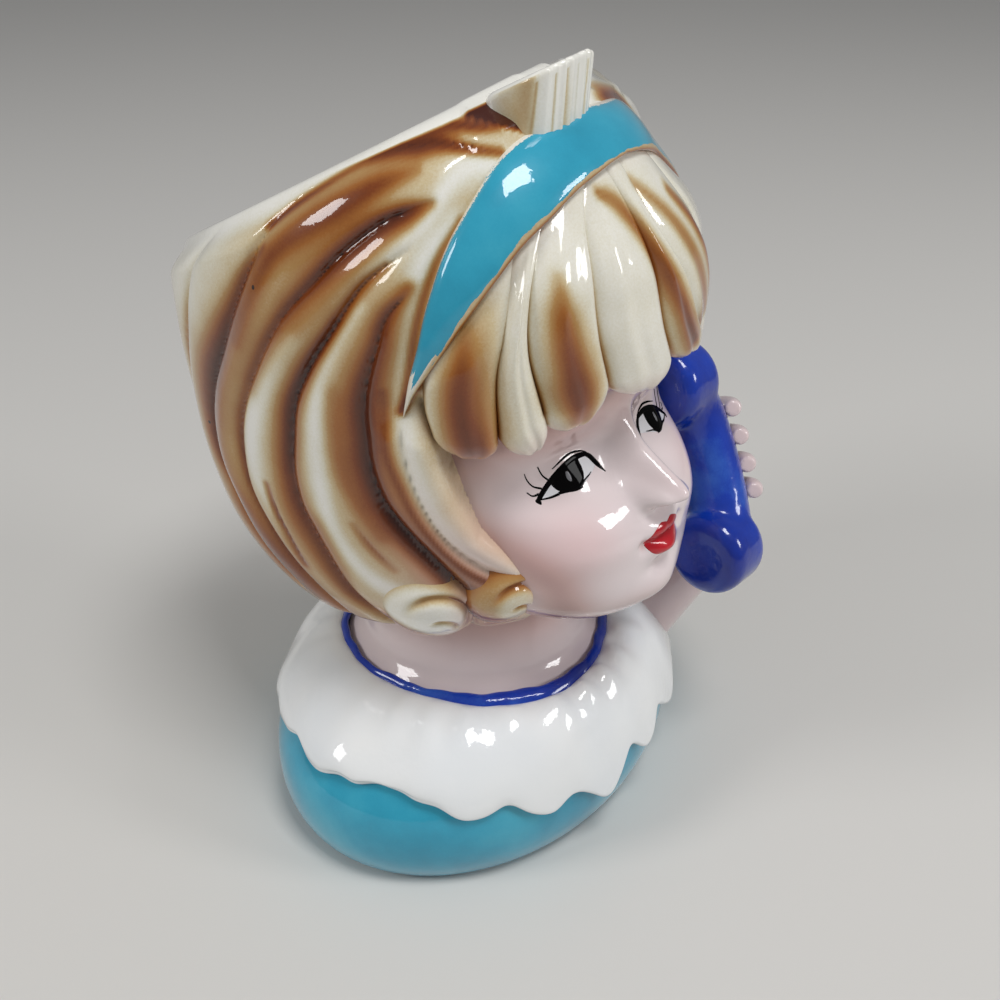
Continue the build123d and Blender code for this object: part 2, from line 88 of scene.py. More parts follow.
# Face
face_axis = -12.0
face_bottom = 54.0
face_height = 86.0
face_half_width = 30.0
face_depth = 29.0
face_square = 0.86
face_levels = (0, 0.035, 0.07, 0.105, 0.14, 0.19, 0.25, 0.31, 0.37, 0.44, 0.52, 0.62, 0.73, 0.83, 0.92, 1)
face_widths = (0.4, 0.6, 0.73, 0.81, 0.86, 0.9, 0.93, 0.95, 0.965, 0.98, 0.99, 1, 0.97, 0.9, 0.76, 0.5)
face_fronts = (0.66, 0.9, 1, 1.05, 1.06, 1.05, 1.03, 0.94, 0.75, 0.68, 0.72, 0.84, 0.86, 0.76, 0.6, 0.38)

# Grooves between the locks of one side: turn from the front, height, reach and depth along each
grooves = (
    ((36, 139.8, 3, 1.2), (47, 140.6, 3.5, 2), (54, 140.3, 4, 2.6), (61, 139.5, 4, 2.6), (70, 137.3, 4.5, 2.6),
     (80, 132.8, 5, 2.4), (87, 128, 5, 2.2), (92, 120.5, 5, 2.4), (97, 113, 5.5, 2.6), (102, 106, 6, 2.8),
     (109, 97, 6, 2.8), (113, 89, 6, 2.6), (113, 82, 5, 2.4), (110, 75, 5, 2), (104, 66, 4, 1.5), (97, 57, 4, 1.2)),
    ((50, 134.2, 2.5, 0.8), (57, 132.6, 4, 1.8), (63, 130.5, 4.5, 2.2), (70.5, 126.1, 5, 2.4),
     (76.5, 121.2, 5, 2.2), (83, 115.5, 5, 2), (91, 105.5, 5, 2.2), (97.5, 96, 5, 2.6), (100.5, 88, 5, 3),
     (100.5, 80, 4.5, 3), (96, 72, 4, 2.6), (90, 64, 4, 2.2), (84, 57, 3.5, 1.8), (79, 51, 3, 1.5)),
    ((55, 129, 2, 0.6), (61, 125.8, 3, 1.6), (66.5, 121.9, 4, 2.4), (72.7, 114.6, 4.5, 2.8), (77.5, 108.9, 5, 3),
     (82, 101.9, 5, 3), (84, 94.6, 5, 3), (85, 88.6, 4.5, 2.8), (84.4, 82.2, 4.5, 2.6), (82, 77, 4.5, 2.4),
     (79, 70.5, 4, 2.4), (75.5, 63.5, 4, 2.4), (70, 58, 3, 2), (64, 53, 2.5, 1)),
    ((55, 124, 2, 0.8), (61.2, 118.7, 3.5, 2), (63.5, 114.1, 4, 2.4), (65.8, 108.2, 4.5, 2.6), (67, 103, 4.5, 2.8),
     (67, 98, 4.5, 3), (66.7, 92.9, 4.5, 3), (64.7, 86.8, 4.5, 3), (61, 81.9, 4.5, 3), (56.5, 77.1, 4.5, 3),
     (52, 72.5, 4, 2.8), (48, 68, 4, 2.6), (46, 63, 3, 2.4), (45, 56, 3, 2)),
    ((53, 115, 2, 0.8), (57, 107.5, 2.5, 1.6), (59.3, 102, 3, 2), (59.3, 96, 3, 1.6), (57, 88.5, 3, 1.4),
     (53, 81.5, 3, 1.4), (47, 76, 3, 1.6), (40, 71.5, 3, 2), (34, 67.5, 3, 2), (31, 63, 3, 2)),
    ((104, 125, 3, 0.8), (109.6, 119.3, 4, 1.4), (113.6, 113.2, 4.5, 1.8), (118, 106, 5, 2), (124, 96, 5, 2.2),
     (128, 86, 5, 2.2), (127, 76, 5, 2), (121, 66, 4.5, 1.8), (113, 57, 4, 1.5)),
    ((122, 127, 4, 1.2), (131, 116, 6, 2), (139, 104, 6, 2.4), (144, 92, 6, 2.4), (144, 80, 6, 2.2),
     (138, 68, 5, 2), (129, 57, 4, 1.6)),
    ((140, 126, 5, 1), (152, 112, 6, 2.2), (160, 98, 7, 2.4), (164, 84, 7, 2.4), (161, 70, 6, 2), (152, 57, 5, 1.6)),
    ((180, 122, 4, 0.8), (180, 110, 6, 1.8), (180, 90, 7, 2.2), (180, 70, 6, 2), (180, 56, 5, 1.5)),
    ((33, 142.4, 1.2, 0.6), (38, 142.4, 1.5, 0.9), (45, 142.4, 1.5, 0.9), (52, 141.8, 1.2, 0.5)),
    ((91.5, 84, 1.6, 0.5), (90.8, 78.4, 2, 1), (88.8, 73, 2, 1), (86.2, 67.9, 1.6, 0.5)),
    ((70.5, 81.5, 1.4, 0.3), (67.2, 77.1, 1.8, 0.7), (63, 73, 1.4, 0.3)),
)

# Brown airbrushed along the same side: turn, height, reach and strength
browns = (
    ((87, 125.5, 0.7, 0.5), (91, 121.5, 1.1, 0.8), (96, 114, 1.7, 0.9), (101.5, 107, 2.3, 0.95),
     (108, 98, 2.8, 0.95), (112, 90, 2.8, 0.95), (112.5, 83, 2.4, 0.9), (109, 77, 1.6, 0.8), (103, 70, 1, 0.5)),
    ((86, 125, 2, 0.2), (96, 112, 4, 0.4), (106, 98, 5, 0.5), (111, 86, 5, 0.5), (106, 74, 5, 0.4),
     (96, 62, 6, 0.4)),
    ((51.5, 133.9, 0.8, 0.4), (57, 132.6, 1.4, 0.95), (63, 130.5, 1.6, 0.97), (70.5, 126.1, 1.5, 0.85),
     (76.5, 121.2, 1.3, 0.7), (83, 115.5, 1.2, 0.6), (91, 105.5, 1.1, 0.5), (97.5, 96, 1.1, 0.6),
     (100.5, 88, 1, 0.75), (100.5, 80, 0.8, 0.85), (96, 72, 0.7, 0.7), (90, 64, 0.6, 0.4)),
    ((58, 132, 2, 0.2), (66, 129, 3.5, 0.45), (75, 122, 4, 0.45), (84, 113, 3, 0.35), (92, 103, 2.5, 0.25)),
    ((54, 138, 0.9, 0.3), (61.5, 136.2, 1.6, 0.72), (69, 133.3, 2.2, 0.76), (77, 129.6, 2.4, 0.72),
     (84, 125, 2, 0.66), (89, 118, 1.8, 0.5), (94, 110, 1.8, 0.35)),
    ((34, 139.2, 0.5, 0.6), (47, 140.5, 0.8, 0.9), (54, 140.2, 1.2, 0.97), (61, 139.4, 1, 0.95),
     (70, 137.2, 0.6, 0.9), (80, 132.6, 0.45, 0.85), (87, 128.2, 0.5, 0.8)),
    ((44, 141.6, 0.8, 0.3), (52, 141.6, 1.3, 0.75), (60, 140.6, 1.1, 0.65), (68, 138.6, 0.8, 0.4)),
    ((33, 142.4, 0.35, 0.7), (38, 142.4, 0.4, 0.85), (45, 142.4, 0.45, 0.85), (51, 141.9, 0.6, 0.5)),
    ((61, 125.8, 0.7, 0.4), (66.5, 121.9, 1, 0.66), (72.7, 114.6, 1.3, 0.74), (77.5, 108.9, 1.7, 0.78),
     (82, 101.9, 2, 0.8), (84, 94.6, 2.2, 0.8), (85, 88.6, 2.2, 0.8), (84.4, 82.2, 2.6, 0.74), (82, 77, 3.4, 0.68),
     (79, 70.5, 2.8, 0.6), (76, 63.5, 2, 0.62), (70, 59.5, 1.6, 0.66), (63, 56, 1.6, 0.75)),
    ((71, 117, 0.4, 0.5), (77.5, 109, 0.6, 0.9), (82, 102, 0.8, 0.9), (84, 94.6, 0.8, 0.85), (85, 88, 0.6, 0.5)),
    ((57, 123, 1, 0.5), (61.2, 118.7, 1.4, 0.7), (63, 114.1, 1.7, 0.78), (65.5, 108.2, 2, 0.86),
     (66.5, 103.4, 2.2, 0.92), (66.5, 98.4, 2.2, 0.95), (66.5, 92.9, 2.2, 0.97), (64.5, 86.8, 2.2, 0.97),
     (61, 81.9, 2.1, 0.97), (56.5, 77.1, 2, 0.95), (52, 72.5, 1.9, 0.92), (47.5, 67.8, 2.4, 0.92),
     (41, 62, 3.4, 0.9)),
    ((58, 122, 2.5, 0.2), (64, 112, 3.6, 0.4), (67, 100, 3.8, 0.45), (65, 87, 3.8, 0.45), (57, 77, 3.6, 0.4),
     (48, 68, 4, 0.5)),
    ((109.6, 119.3, 0.7, 0.3), (113.6, 113.2, 0.9, 0.45), (119, 105, 1, 0.5), (125, 94, 1.4, 0.6),
     (128, 84, 1.6, 0.6), (126, 73, 1.4, 0.5)),
    ((91.5, 84, 0.5, 0.4), (90.8, 78.4, 0.6, 0.75), (88.8, 73.8, 0.8, 0.75), (86.2, 67.9, 1, 0.5)),
    ((104, 72, 5, 0.35), (96, 64, 6, 0.5), (88, 58, 5, 0.45), (80, 54, 4, 0.4)),
    ((70.5, 81.5, 0.8, 0.2), (67.2, 77.1, 0.9, 0.45), (63, 73, 0.8, 0.2)),
    ((71.5, 106, 1.5, 0.2), (72, 100, 1.6, 0.3), (71.4, 92, 1.6, 0.34), (69, 86.3, 1.6, 0.34), (65, 80, 1.6, 0.3)),
    ((62.5, 107, 0.7, 0.4), (62.5, 97.1, 0.9, 0.55), (60, 89.9, 1, 0.62), (57.2, 84.3, 1, 0.62),
     (52.5, 78.2, 1, 0.6), (47.6, 73.8, 1, 0.66), (42.2, 70.6, 1, 0.66), (37, 68.5, 0.8, 0.5)),
    ((59.3, 104, 0.4, 0.6), (58, 109, 0.35, 0.6), (55.8, 118, 0.35, 0.6), (51.8, 126, 0.35, 0.5),
     (46, 131.6, 0.3, 0.4)),
    ((59.5, 103.5, 0.45, 0.75), (57.2, 107, 0.55, 0.85), (54.5, 110.5, 0.6, 0.8), (51, 115, 0.4, 0.5)),
    ((122, 126, 1, 0.3), (131, 116, 1.6, 0.5), (139, 104, 2, 0.7), (144, 92, 2.2, 0.8), (144, 80, 2.2, 0.8),
     (138, 68, 2, 0.6), (129, 57, 1.6, 0.4)),
    ((142, 124, 1, 0.3), (152, 112, 2, 0.6), (160, 98, 2.4, 0.75), (164, 84, 2.4, 0.75), (160, 70, 2.2, 0.5)),
    ((180, 120, 1, 0.3), (180, 108, 2.2, 0.6), (180, 88, 2.6, 0.75), (180, 70, 2.4, 0.5)),
)

# Cream left between them
creams = (
    ((80, 113, 1.4, 0.7), (84, 109, 2, 0.9), (88, 103.4, 2.2, 1), (91.5, 98, 2.4, 1), (94, 91.8, 2.4, 1),
     (94.5, 85, 2, 0.8), (92, 78.5, 1.4, 0.4)),
    ((66, 120, 1, 0.7), (69.2, 116, 1.2, 0.8), (74, 109, 1.5, 0.9), (75.8, 102, 1.8, 1), (76.8, 94.7, 1.9, 1),
     (76.8, 86.8, 1.8, 1), (75.4, 79.1, 1.7, 0.95), (71.8, 73, 1.9, 0.95), (67, 69, 2.2, 1), (62, 67, 2.4, 1)),
    ((34, 137.5, 2, 1), (42, 138, 2.2, 1), (48, 136, 1.6, 1), (53, 131.6, 1.1, 1), (59, 128.1, 1.2, 0.9),
     (64.5, 124.4, 1.2, 0.8), (70, 120, 1, 0.6)),
    ((47, 131.5, 1.6, 0.8), (52, 128.5, 1.8, 0.95), (55.5, 124, 1.8, 0.95), (57, 119.3, 1.5, 0.9),
     (58.3, 113, 1.4, 0.95), (59.5, 107, 1.5, 1), (59, 100.6, 1.8, 1), (57.5, 93.6, 2, 1), (54.5, 86, 2, 1),
     (49.5, 80, 2, 1), (43, 75, 2, 1), (36, 70, 2, 1)),
)
fringe_browns = (
    ((-47, 118, 1.2, 0.2), (-48, 112, 1.8, 0.62), (-48.6, 107.9, 2.2, 0.8), (-48, 102.9, 2.4, 0.9),
     (-46, 98, 2.6, 0.95)),
    ((-44, 120, 3, 0.2), (-46.5, 110, 4, 0.45), (-46, 101, 4.5, 0.55)),
    ((-29.3, 124, 1.2, 0.25), (-29.6, 119.9, 1.6, 0.55), (-29, 115, 1.9, 0.72), (-27.6, 110, 2.1, 0.86),
     (-26, 105, 2.4, 0.88), (-25.5, 102.5, 2, 0.7)),
    ((-29, 118, 3.4, 0.25), (-27, 108, 4.2, 0.5)),
    ((-13.5, 133, 0.9, 0.5), (-10, 131.5, 1.6, 0.5), (-6.5, 128, 1.7, 0.66), (-3.2, 123, 1.8, 0.72),
     (0.5, 117, 2, 0.82), (4.5, 111.5, 2.2, 0.9), (9, 107, 2.4, 0.95)),
    ((-1, 133, 1, 0.3), (6, 128, 1.5, 0.4), (12, 121, 1.7, 0.5), (18, 113, 1.8, 0.6), (22, 107, 2, 0.7)),
    ((12, 130, 1.2, 0.5), (17.5, 124, 1.6, 0.8), (23, 116.5, 1.8, 0.9), (28, 109, 2, 0.9)),
    ((38, 121, 2, 0.3), (44, 111, 2.6, 0.7), (46, 100, 3, 0.9)),
)
base_tone = 0.2

# Fringe: seams between its locks from the headband down to the notches, and the tips between them
fringe_seams = (
    ((-51.5, 117), (-54, 112), (-55, 108), (-55, 104), (-54, 100)),
    ((-36, 128), (-38, 122.5), (-40, 116), (-41.5, 109), (-41, 99)),
    ((-27, 132.5), (-31.5, 127.5), (-34.7, 121), (-35.3, 113), (-32, 103)),
    ((-14.5, 136), (-19.5, 130), (-21, 122), (-20.4, 114), (-17.5, 106.3)),
    ((-8, 137), (-5.6, 129), (-3.6, 121), (-1.5, 113), (3.5, 106)),
    ((-2, 137.5), (1, 127), (6.5, 119), (12.5, 111.5), (20, 106)),
    ((13, 137), (20, 129), (27, 120), (33, 111), (37, 104)),
    ((36, 129), (44, 123), (50, 116), (54, 109), (54, 101)),
)
fringe_tips = ((-46.5, 96), (-33.5, 96.3), (-25, 99.8), (-6, 102), (14.5, 102.8), (29, 100), (45, 97.5))
fringe_edge = ((-56, 105), (-53, 101), (-42, 100), (-33, 102), (-17.5, 105.5), (3, 105), (20, 105), (37, 103),
               (53, 101), (56, 105))
face_side = ((52, 97), (51, 93), (48, 87), (44, 81), (37, 76), (29, 70), (26, 64), (27, 59), (31, 55), (33, 30))
band_rear = ((0, 142.5), (13, 142), (22, 141.2), (31, 139.6), (38, 136.9), (45, 132.2), (50, 127.2), (53.8, 120.4),
             (56, 114), (57.8, 109), (59, 104.5))
band_front = ((0, 136.8), (8, 136.2), (19, 134.3), (28, 131.2), (35.5, 127.8), (42, 123), (47.5, 117.9), (51, 114),
              (54, 110.4), (56.5, 107), (58.5, 103.5))


def curve_at(places, table_places, table_values):
    """Smooth reading of a table of values at many places."""
    xs, ys = np.array(table_places, float), np.array(table_values, float)
    slopes = np.gradient(ys, xs)
    places = np.clip(places, xs[0], xs[-1])
    i = np.clip(np.searchsorted(xs, places) - 1, 0, len(xs) - 2)
    step = xs[i + 1] - xs[i]
    t = (places - xs[i]) / step
    start = (2 * t**3 - 3 * t**2 + 1) * ys[i] + (t**3 - 2 * t**2 + t) * step * slopes[i]
    return start + (3 * t**2 - 2 * t**3) * ys[i + 1] + (t**3 - t**2) * step * slopes[i + 1]


def ease(values, low, high):
    """0 below low, 1 above high, and a soft rise between."""
    share = np.clip((values - low) / (high - low), 0, 1)
    return share * share * (3 - 2 * share)


def swell(distance, reach):
    """A soft bump: 1 in the middle, near nothing at twice the reach."""
    return np.exp(-((distance / reach) ** 2))


def smooth_line(points, parts=8):
    """A line through points, each stretch of it cut into short smooth parts."""
    points = np.array(points, float)
    marks = np.arange(len(points))
    fine = np.linspace(0, len(points) - 1, (len(points) - 1) * parts + 1)
    return np.stack([curve_at(fine, marks, points[:, 0]), curve_at(fine, marks, points[:, 1])], 1)


def line_distance(across, height, line):
    """Distance in millimetres from points on the head to a line of turns and heights."""
    nearest = np.full(across.shape, 1e9)
    for (a, low), (b, high) in zip(line[:-1], line[1:]):
        run, rise = (b - a) * arc_scale, high - low
        from_x, from_z = (across - a) * arc_scale, height - low
        share = np.clip((from_x * run + from_z * rise) / (run * run + rise * rise + 1e-9), 0, 1)
        nearest = np.minimum(nearest, np.hypot(from_x - share * run, from_z - share * rise))
    return nearest


def along_strokes(across, height, strokes, profile, build):
    """Effect of strokes on points of the head: each gives its strength by the profile of its distance in reaches."""
    total = np.zeros(across.shape)
    for stroke in strokes:
        marks = np.arange(len(stroke))
        fine = np.linspace(0, len(stroke) - 1, (len(stroke) - 1) * 3 + 1)
        turns, heights, reaches, powers = [curve_at(fine, marks, [point[i] for point in stroke]) for i in range(4)]
        nearest, value = np.full(across.shape, 1e9), np.zeros(across.shape)
        for k in range(len(fine) - 1):
            run, rise = (turns[k + 1] - turns[k]) * arc_scale, heights[k + 1] - heights[k]
            from_x, from_z = (across - turns[k]) * arc_scale, height - heights[k]
            share = np.clip((from_x * run + from_z * rise) / (run * run + rise * rise + 1e-9), 0, 1)
            away = np.hypot(from_x - share * run, from_z - share * rise)
            reach = np.maximum(reaches[k] + (reaches[k + 1] - reaches[k]) * share, 0.7)
            power = powers[k] + (powers[k + 1] - powers[k]) * share
            value = np.where(away < nearest, power * profile(away / reach), value)
            nearest = np.minimum(nearest, away)
        total = build(total, value)
    return total


def valley(away):
    """Cross-section of a groove between two rounded locks, 1 at its bottom."""
    return 1 - np.sqrt(1 - (1 - np.clip(away, 0, 1)) ** 2)


def brushed(across, height, strokes):
    """Airbrushed strength, built up stroke over stroke."""
    return along_strokes(across, height, strokes, lambda away: np.exp(-(away**2)), lambda a, b: a + b * (1 - a))


def enclosed(across, height, outline):
    """Whether points lie inside a closed outline of turns and heights."""
    within = np.zeros(across.shape, bool)
    for (a, low), (b, high) in zip(outline, np.roll(outline, -1, axis=0)):
        crosses = (low > height) != (high > height)
        meets = a + (height - low) * (b - a) / (high - low + 1e-12)
        within ^= crosses & (across < meets)
    return within


def pairs_at(places, pairs):
    """Smooth reading of a table given as pairs of place and value."""
    return curve_at(places, *zip(*pairs))


def hair_oval(height):
    """Half width and half depth of the plain head at many heights."""
    share = (height - hair_bottom) / hair_height
    width = hair_half_width * curve_at(share, hair_levels, hair_widths)
    return width, hair_half_depth * curve_at(share, hair_levels, hair_depths)


def on_hair(turn, height, lift):
    """Points lift outside the plain head."""
    width, depth = hair_oval(height)
    angle = np.radians(turn)
    lift = lift - 2.5 * swell(turn - 42, 24) * ease(height, 125, 136)
    return np.stack([(width + lift) * np.sin(angle), hair_axis - (depth + lift) * np.cos(angle), height], -1)


def rim_plane(x, y):
    """Height of the leaning plane of the rim over a place."""
    across, along, up = -sin(rim_roll), cos(rim_roll) * sin(rim_lean), cos(rim_roll) * cos(rim_lean)
    return rim_height - (across * x + along * (y - rim_front)) / up


def rim_level(x, y):
    """Height of the rim over a place, lower on the far side of the tuft."""
    return rim_plane(x, y) - 3.2 * ease(x, 0.5, 5) * ease(-y, 2, 16)


def rim_at(turn):
    """Height at which the rim cuts the plain head at each turn, found by halving."""
    low, high = np.full(turn.shape, 95.0), np.full(turn.shape, 153.5)
    for _ in range(30):
        middle = (low + high) / 2
        place = on_hair(turn, middle, 0)
        under = middle < rim_level(place[..., 0], place[..., 1])
        low, high = np.where(under, middle, low), np.where(under, high, middle)
    return low


def hem_at(turn):
    """Height of the hair's lower edge at each turn."""
    y = hair_axis - 0.8 * hair_half_depth * np.cos(np.radians(turn))
    return hem_height - (y - hem_back) * np.tan(hem_lean)


rear_line, front_line = smooth_line(band_rear), smooth_line(band_front)
face_window = np.array(
    [(-turn, height) for turn, height in reversed(face_side)] + list(fringe_edge) + list(face_side)
)
under_band = np.vstack([front_line, rear_line[::-1]])
fringe_bed = np.vstack([front_line[:-24] + (0, 1.6), [(50.5, 108), (50, 99), (0, 99)]])


def hair_surface(turn, height, rim):
    """Relief of the hair over the plain head, with its paint: brown tone, deepened by painted shade in the hollow
    beside the tuft, and pink blush.
    """
    side = np.abs(turn)
    relief = plain_lift - along_strokes(side, height, grooves, valley, np.maximum)
    tone = base_tone * (1 - brushed(side, height, creams))
    tone = tone + brushed(side, height, browns) * (1 - tone)

    # A few shallow strands run along the locks
    flow = along_strokes(side, height, grooves[:5], lambda away: away, np.maximum)
    strands = np.sin(np.minimum(flow, 6) * 4.2 + height * 0.03) * (0.4 + 0.6 * ease(-height, -100, -66))
    relief += 0.14 * strands
    tone += 0.07 * strands * ease(tone, 0.02, 0.3)

    # Locks and paint fade out towards the white rim and its rear corner
    below_rim = rim - height
    rear = ease(side, 62, 95)
    relief *= ease(below_rim, 0.2, 3.5 + 3.5 * rear)
    tone *= ease(below_rim - 0.3 - 1.1 * rear, 0, 1 + 2.2 * rear)
    corner = swell(side - 112, 15) * ease(-below_rim, -24, -4)
    tone *= 1 - 0.85 * corner
    crown = ease(turn, -14, -2) * ease(-turn, -70, -50) * ease(height, 133, 137)
    tone *= 1 - 0.85 * crown

    # The hollow beside the tuft is sunk and has the darkest brown: brown paint deepened by painted shade of the
    # hollow
    depth = ease(below_rim, 0.5, 1.2) * ease(0.9 + (turn + 44) * 0.24 - below_rim, 0, 1) * ease(-turn, 13, 16)
    relief -= 1.5 * depth
    tone = np.maximum(tone, 1.1 * depth)

    # The headband and the fringe lie in low places of their own
    bed = enclosed(side, height, fringe_bed)
    relief = np.where(bed, bed_lift, relief)
    band_distance = np.minimum(line_distance(side, height, rear_line), line_distance(side, height, front_line))
    covered = enclosed(side, height, under_band)
    near_band = np.where(covered, -band_distance, band_distance)
    relief = np.where(bed, relief, np.minimum(relief, 0.9 + 0.4 * np.maximum(near_band, 0)))
    relief = np.where(bed, relief, relief + (-1.4 - relief) * ease(-near_band, 1.2, 2.6))
    behind = swell(near_band - 0.6, 1.5) * ease(turn, 3, 16) * ease(height, 130, 136)
    tone = tone + 0.85 * behind * (1 - tone)

    # The edge over the face rounds off, and the rest lies hidden behind the face
    window_distance = line_distance(turn, height, np.vstack([face_window, face_window[:1]]))
    in_window = enclosed(turn, height, face_window)
    edge = np.sqrt(np.clip(1 - (1 - np.clip(window_distance / 2.6, 0, 1)) ** 2, 0, 1))
    sunk = 5.3 * ease(window_distance, 0, 2.4)
    relief = window_lift + np.where(in_window, -sunk, (relief - window_lift) * edge)
    blush = np.clip(swell(side - 46, 15) * swell(height - 72, 17), 0, 1) * (1 - ease(tone, 0.35, 0.8))
    return relief, np.clip(tone, 0, 1.1), blush


def swept(name, rows):
    """A grid over rows of points in millimetres, edges that meet joined; marks of the rows become attributes."""
    table = np.array([points for points, _ in rows])
    count = table.shape[1]
    bpy.ops.mesh.primitive_grid_add(x_subdivisions=count - 1, y_subdivisions=len(rows) - 1, size=2)
    piece = bpy.context.object
    piece.name = piece.data.name = name
    flat = np.empty(len(piece.data.vertices) * 3)
    piece.data.vertices.foreach_get("co", flat)
    grid = (flat.reshape(-1, 3)[:, :2] + 1) / 2
    i = np.rint(grid[:, 1] * (len(rows) - 1)).astype(int)
    j = np.rint(grid[:, 0] * (count - 1)).astype(int)
    piece.data.vertices.foreach_set("co", (table[i, j] * MM).ravel())
    for mark in sorted({mark for _, marks in rows for mark in marks}):
        values = np.array([np.broadcast_to(marks.get(mark, 0.0), count) for _, marks in rows])[i, j]
        piece.data.attributes.new(mark, "FLOAT", "POINT").data.foreach_set("value", values.astype(float))
    bpy.ops.object.mode_set(mode="EDIT")
    bpy.ops.mesh.select_all(action="SELECT")
    bpy.ops.mesh.remove_doubles(threshold=0.004 * MM)
    bpy.ops.mesh.dissolve_degenerate(threshold=0.001 * MM)
    bpy.ops.mesh.normals_make_consistent(inside=False)
    bpy.ops.object.mode_set(mode="OBJECT")
    bpy.ops.object.shade_smooth()
    piece.select_set(False)
    return piece


def dress(piece, material, slot, *nodes):
    """Gives a finished piece its glaze and its body, and hides the CAD nodes it stands for."""
    piece.data.materials.clear()
    piece.data.materials.append(material)
    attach(piece, "root")
    if nodes:
        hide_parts(*nodes)
    return piece


def ring(turns, width, depth, height, centre=0.0):
    """One level ring of points round the upright axis."""
    angle = np.radians(turns)
    x = np.broadcast_to(width, turns.shape) * np.sin(angle)
    y = centre - np.broadcast_to(depth, turns.shape) * np.cos(angle)
    return np.stack([x, y, np.broadcast_to(height, turns.shape)], -1)


def rings(turns, *places):
    """Rows of plain rings, each place a width, depth and height."""
    return [(ring(turns, *place), {}) for place in places]


# Glazes


def rgb(red, green, blue):
    """A colour written as it looks on a screen, 0 to 255, as the linear colour that shaders want."""
    shares = [value / 255 for value in (red, green, blue)]
    return tuple(share / 12.92 if share <= 0.04045 else ((share + 0.055) / 1.055) ** 2.4 for share in shares) + (1,)


def node_group(name, inputs, outputs):
    """An empty shader node group with float inputs, given with their values, and float outputs."""
    group = bpy.data.node_groups.new(name, "ShaderNodeTree")
    for label, value in inputs.items():
        group.interface.new_socket(label, in_out="INPUT", socket_type="NodeSocketFloat").default_value = value
    for label in outputs:
        group.interface.new_socket(label, in_out="OUTPUT", socket_type="NodeSocketFloat")
    return group, group.nodes.new("NodeGroupInput"), group.nodes.new("NodeGroupOutput")


def math_node(tree, operation, first, second, clamp=False):
    """A math node with its two inputs linked or set; gives its output socket."""
    node = tree.nodes.new("ShaderNodeMath")
    node.operation, node.use_clamp = operation, clamp
    for socket, value in zip(node.inputs, (first, second)):
        if isinstance(value, (int, float)):
            socket.default_value = value
        else:
            tree.links.new(value, socket)
    return node.outputs[0]


def noise_node(tree, scale, detail=3, rough=0.5):
    """Noise over object coordinates; gives its factor."""
    where = tree.nodes.new("ShaderNodeTexCoord")
    noise = tree.nodes.new("ShaderNodeTexNoise")
    for label, value in (("Scale", scale), ("Detail", detail), ("Roughness", rough)):
        noise.inputs[label].default_value = value
    tree.links.new(where.outputs["Object"], noise.inputs["Vector"])
    return noise.outputs[0]


def pit_group():
    """Tiny dark pits scattered over a glaze: a mask from cell noise, most cells left bare."""
    tree, given, out = node_group("glaze pits", {"Scale": 260.0, "Share": 0.04, "Size": 0.1}, ["Pit"])
    where = tree.nodes.new("ShaderNodeTexCoord")
    cells = tree.nodes.new("ShaderNodeTexVoronoi")
    tree.links.new(where.outputs["Object"], cells.inputs["Vector"])
    tree.links.new(given.outputs["Scale"], cells.inputs["Scale"])
    split = tree.nodes.new("ShaderNodeSeparateColor")
    tree.links.new(cells.outputs["Color"], split.inputs[0])
    chosen = math_node(tree, "LESS_THAN", split.outputs[0], given.outputs["Share"])
    close = math_node(tree, "LESS_THAN", cells.outputs["Distance"], given.outputs["Size"])
    tree.links.new(math_node(tree, "MULTIPLY", chosen, close), out.inputs["Pit"])
    return tree


def ripple_group():
    """Height of a fired glaze: long soft waves and a faint orange peel."""
    tree, given, out = node_group("glaze ripple", {"Long": 1.0, "Fine": 0.25}, ["Height"])
    long_wave = math_node(tree, "MULTIPLY", noise_node(tree, 90.0, 2), given.outputs["Long"])
    fine = math_node(tree, "MULTIPLY", noise_node(tree, 700.0, 2), given.outputs["Fine"])
    tree.links.new(math_node(tree, "ADD", long_wave, fine), out.inputs["Height"])
    return tree


def grain_group():
    """Fine spatter of an airbrush, centred on nothing, to be added to a tone."""
    tree, given, out = node_group("airbrush grain", {"Strength": 0.1}, ["Grain"])
    spatter = math_node(tree, "SUBTRACT", noise_node(tree, 2600.0, 3, 0.7), 0.5)
    cloud = math_node(tree, "SUBTRACT", noise_node(tree, 130.0, 3), 0.5)
    both = math_node(tree, "ADD", spatter, math_node(tree, "MULTIPLY", cloud, 0.8))
    tree.links.new(math_node(tree, "MULTIPLY", both, given.outputs["Strength"]), out.inputs["Grain"])
    return tree


groups = {"pits": pit_group(), "ripple": ripple_group(), "grain": grain_group()}


def placed(tree, key, **values):
    """One of the shared groups in a material, with its own values."""
    node = tree.nodes.new("ShaderNodeGroup")
    node.node_tree = groups[key]
    for label, value in values.items():
        node.inputs[label].default_value = value
    return node.outputs[0]


def mark_value(tree, name):
    """A painted attribute of the piece."""
    node = tree.nodes.new("ShaderNodeAttribute")
    node.attribute_name = name
    return node.outputs["Fac"]


def ramp(tree, factor, stops):
    """A colour ramp along a factor; gives its colour."""
    node = tree.nodes.new("ShaderNodeValToRGB")
    elements = node.color_ramp.elements
    while len(elements) < len(stops):
        elements.new(0.5)
    for element, (place, colour) in zip(elements, stops):
        element.position, element.color = place, colour
    tree.links.new(factor, node.inputs[0])
    return node.outputs["Color"]


def mixed(tree, factor, first, second):
    """Two colours mixed by a factor; either may be a socket or a plain colour."""
    node = tree.nodes.new("ShaderNodeMix")
    node.data_type = "RGBA"
    for socket, value in ((node.inputs[0], factor), (node.inputs[6], first), (node.inputs[7], second)):
        if hasattr(value, "node"):
            tree.links.new(value, socket)
        else:
            socket.default_value = value
    return node.outputs[2]


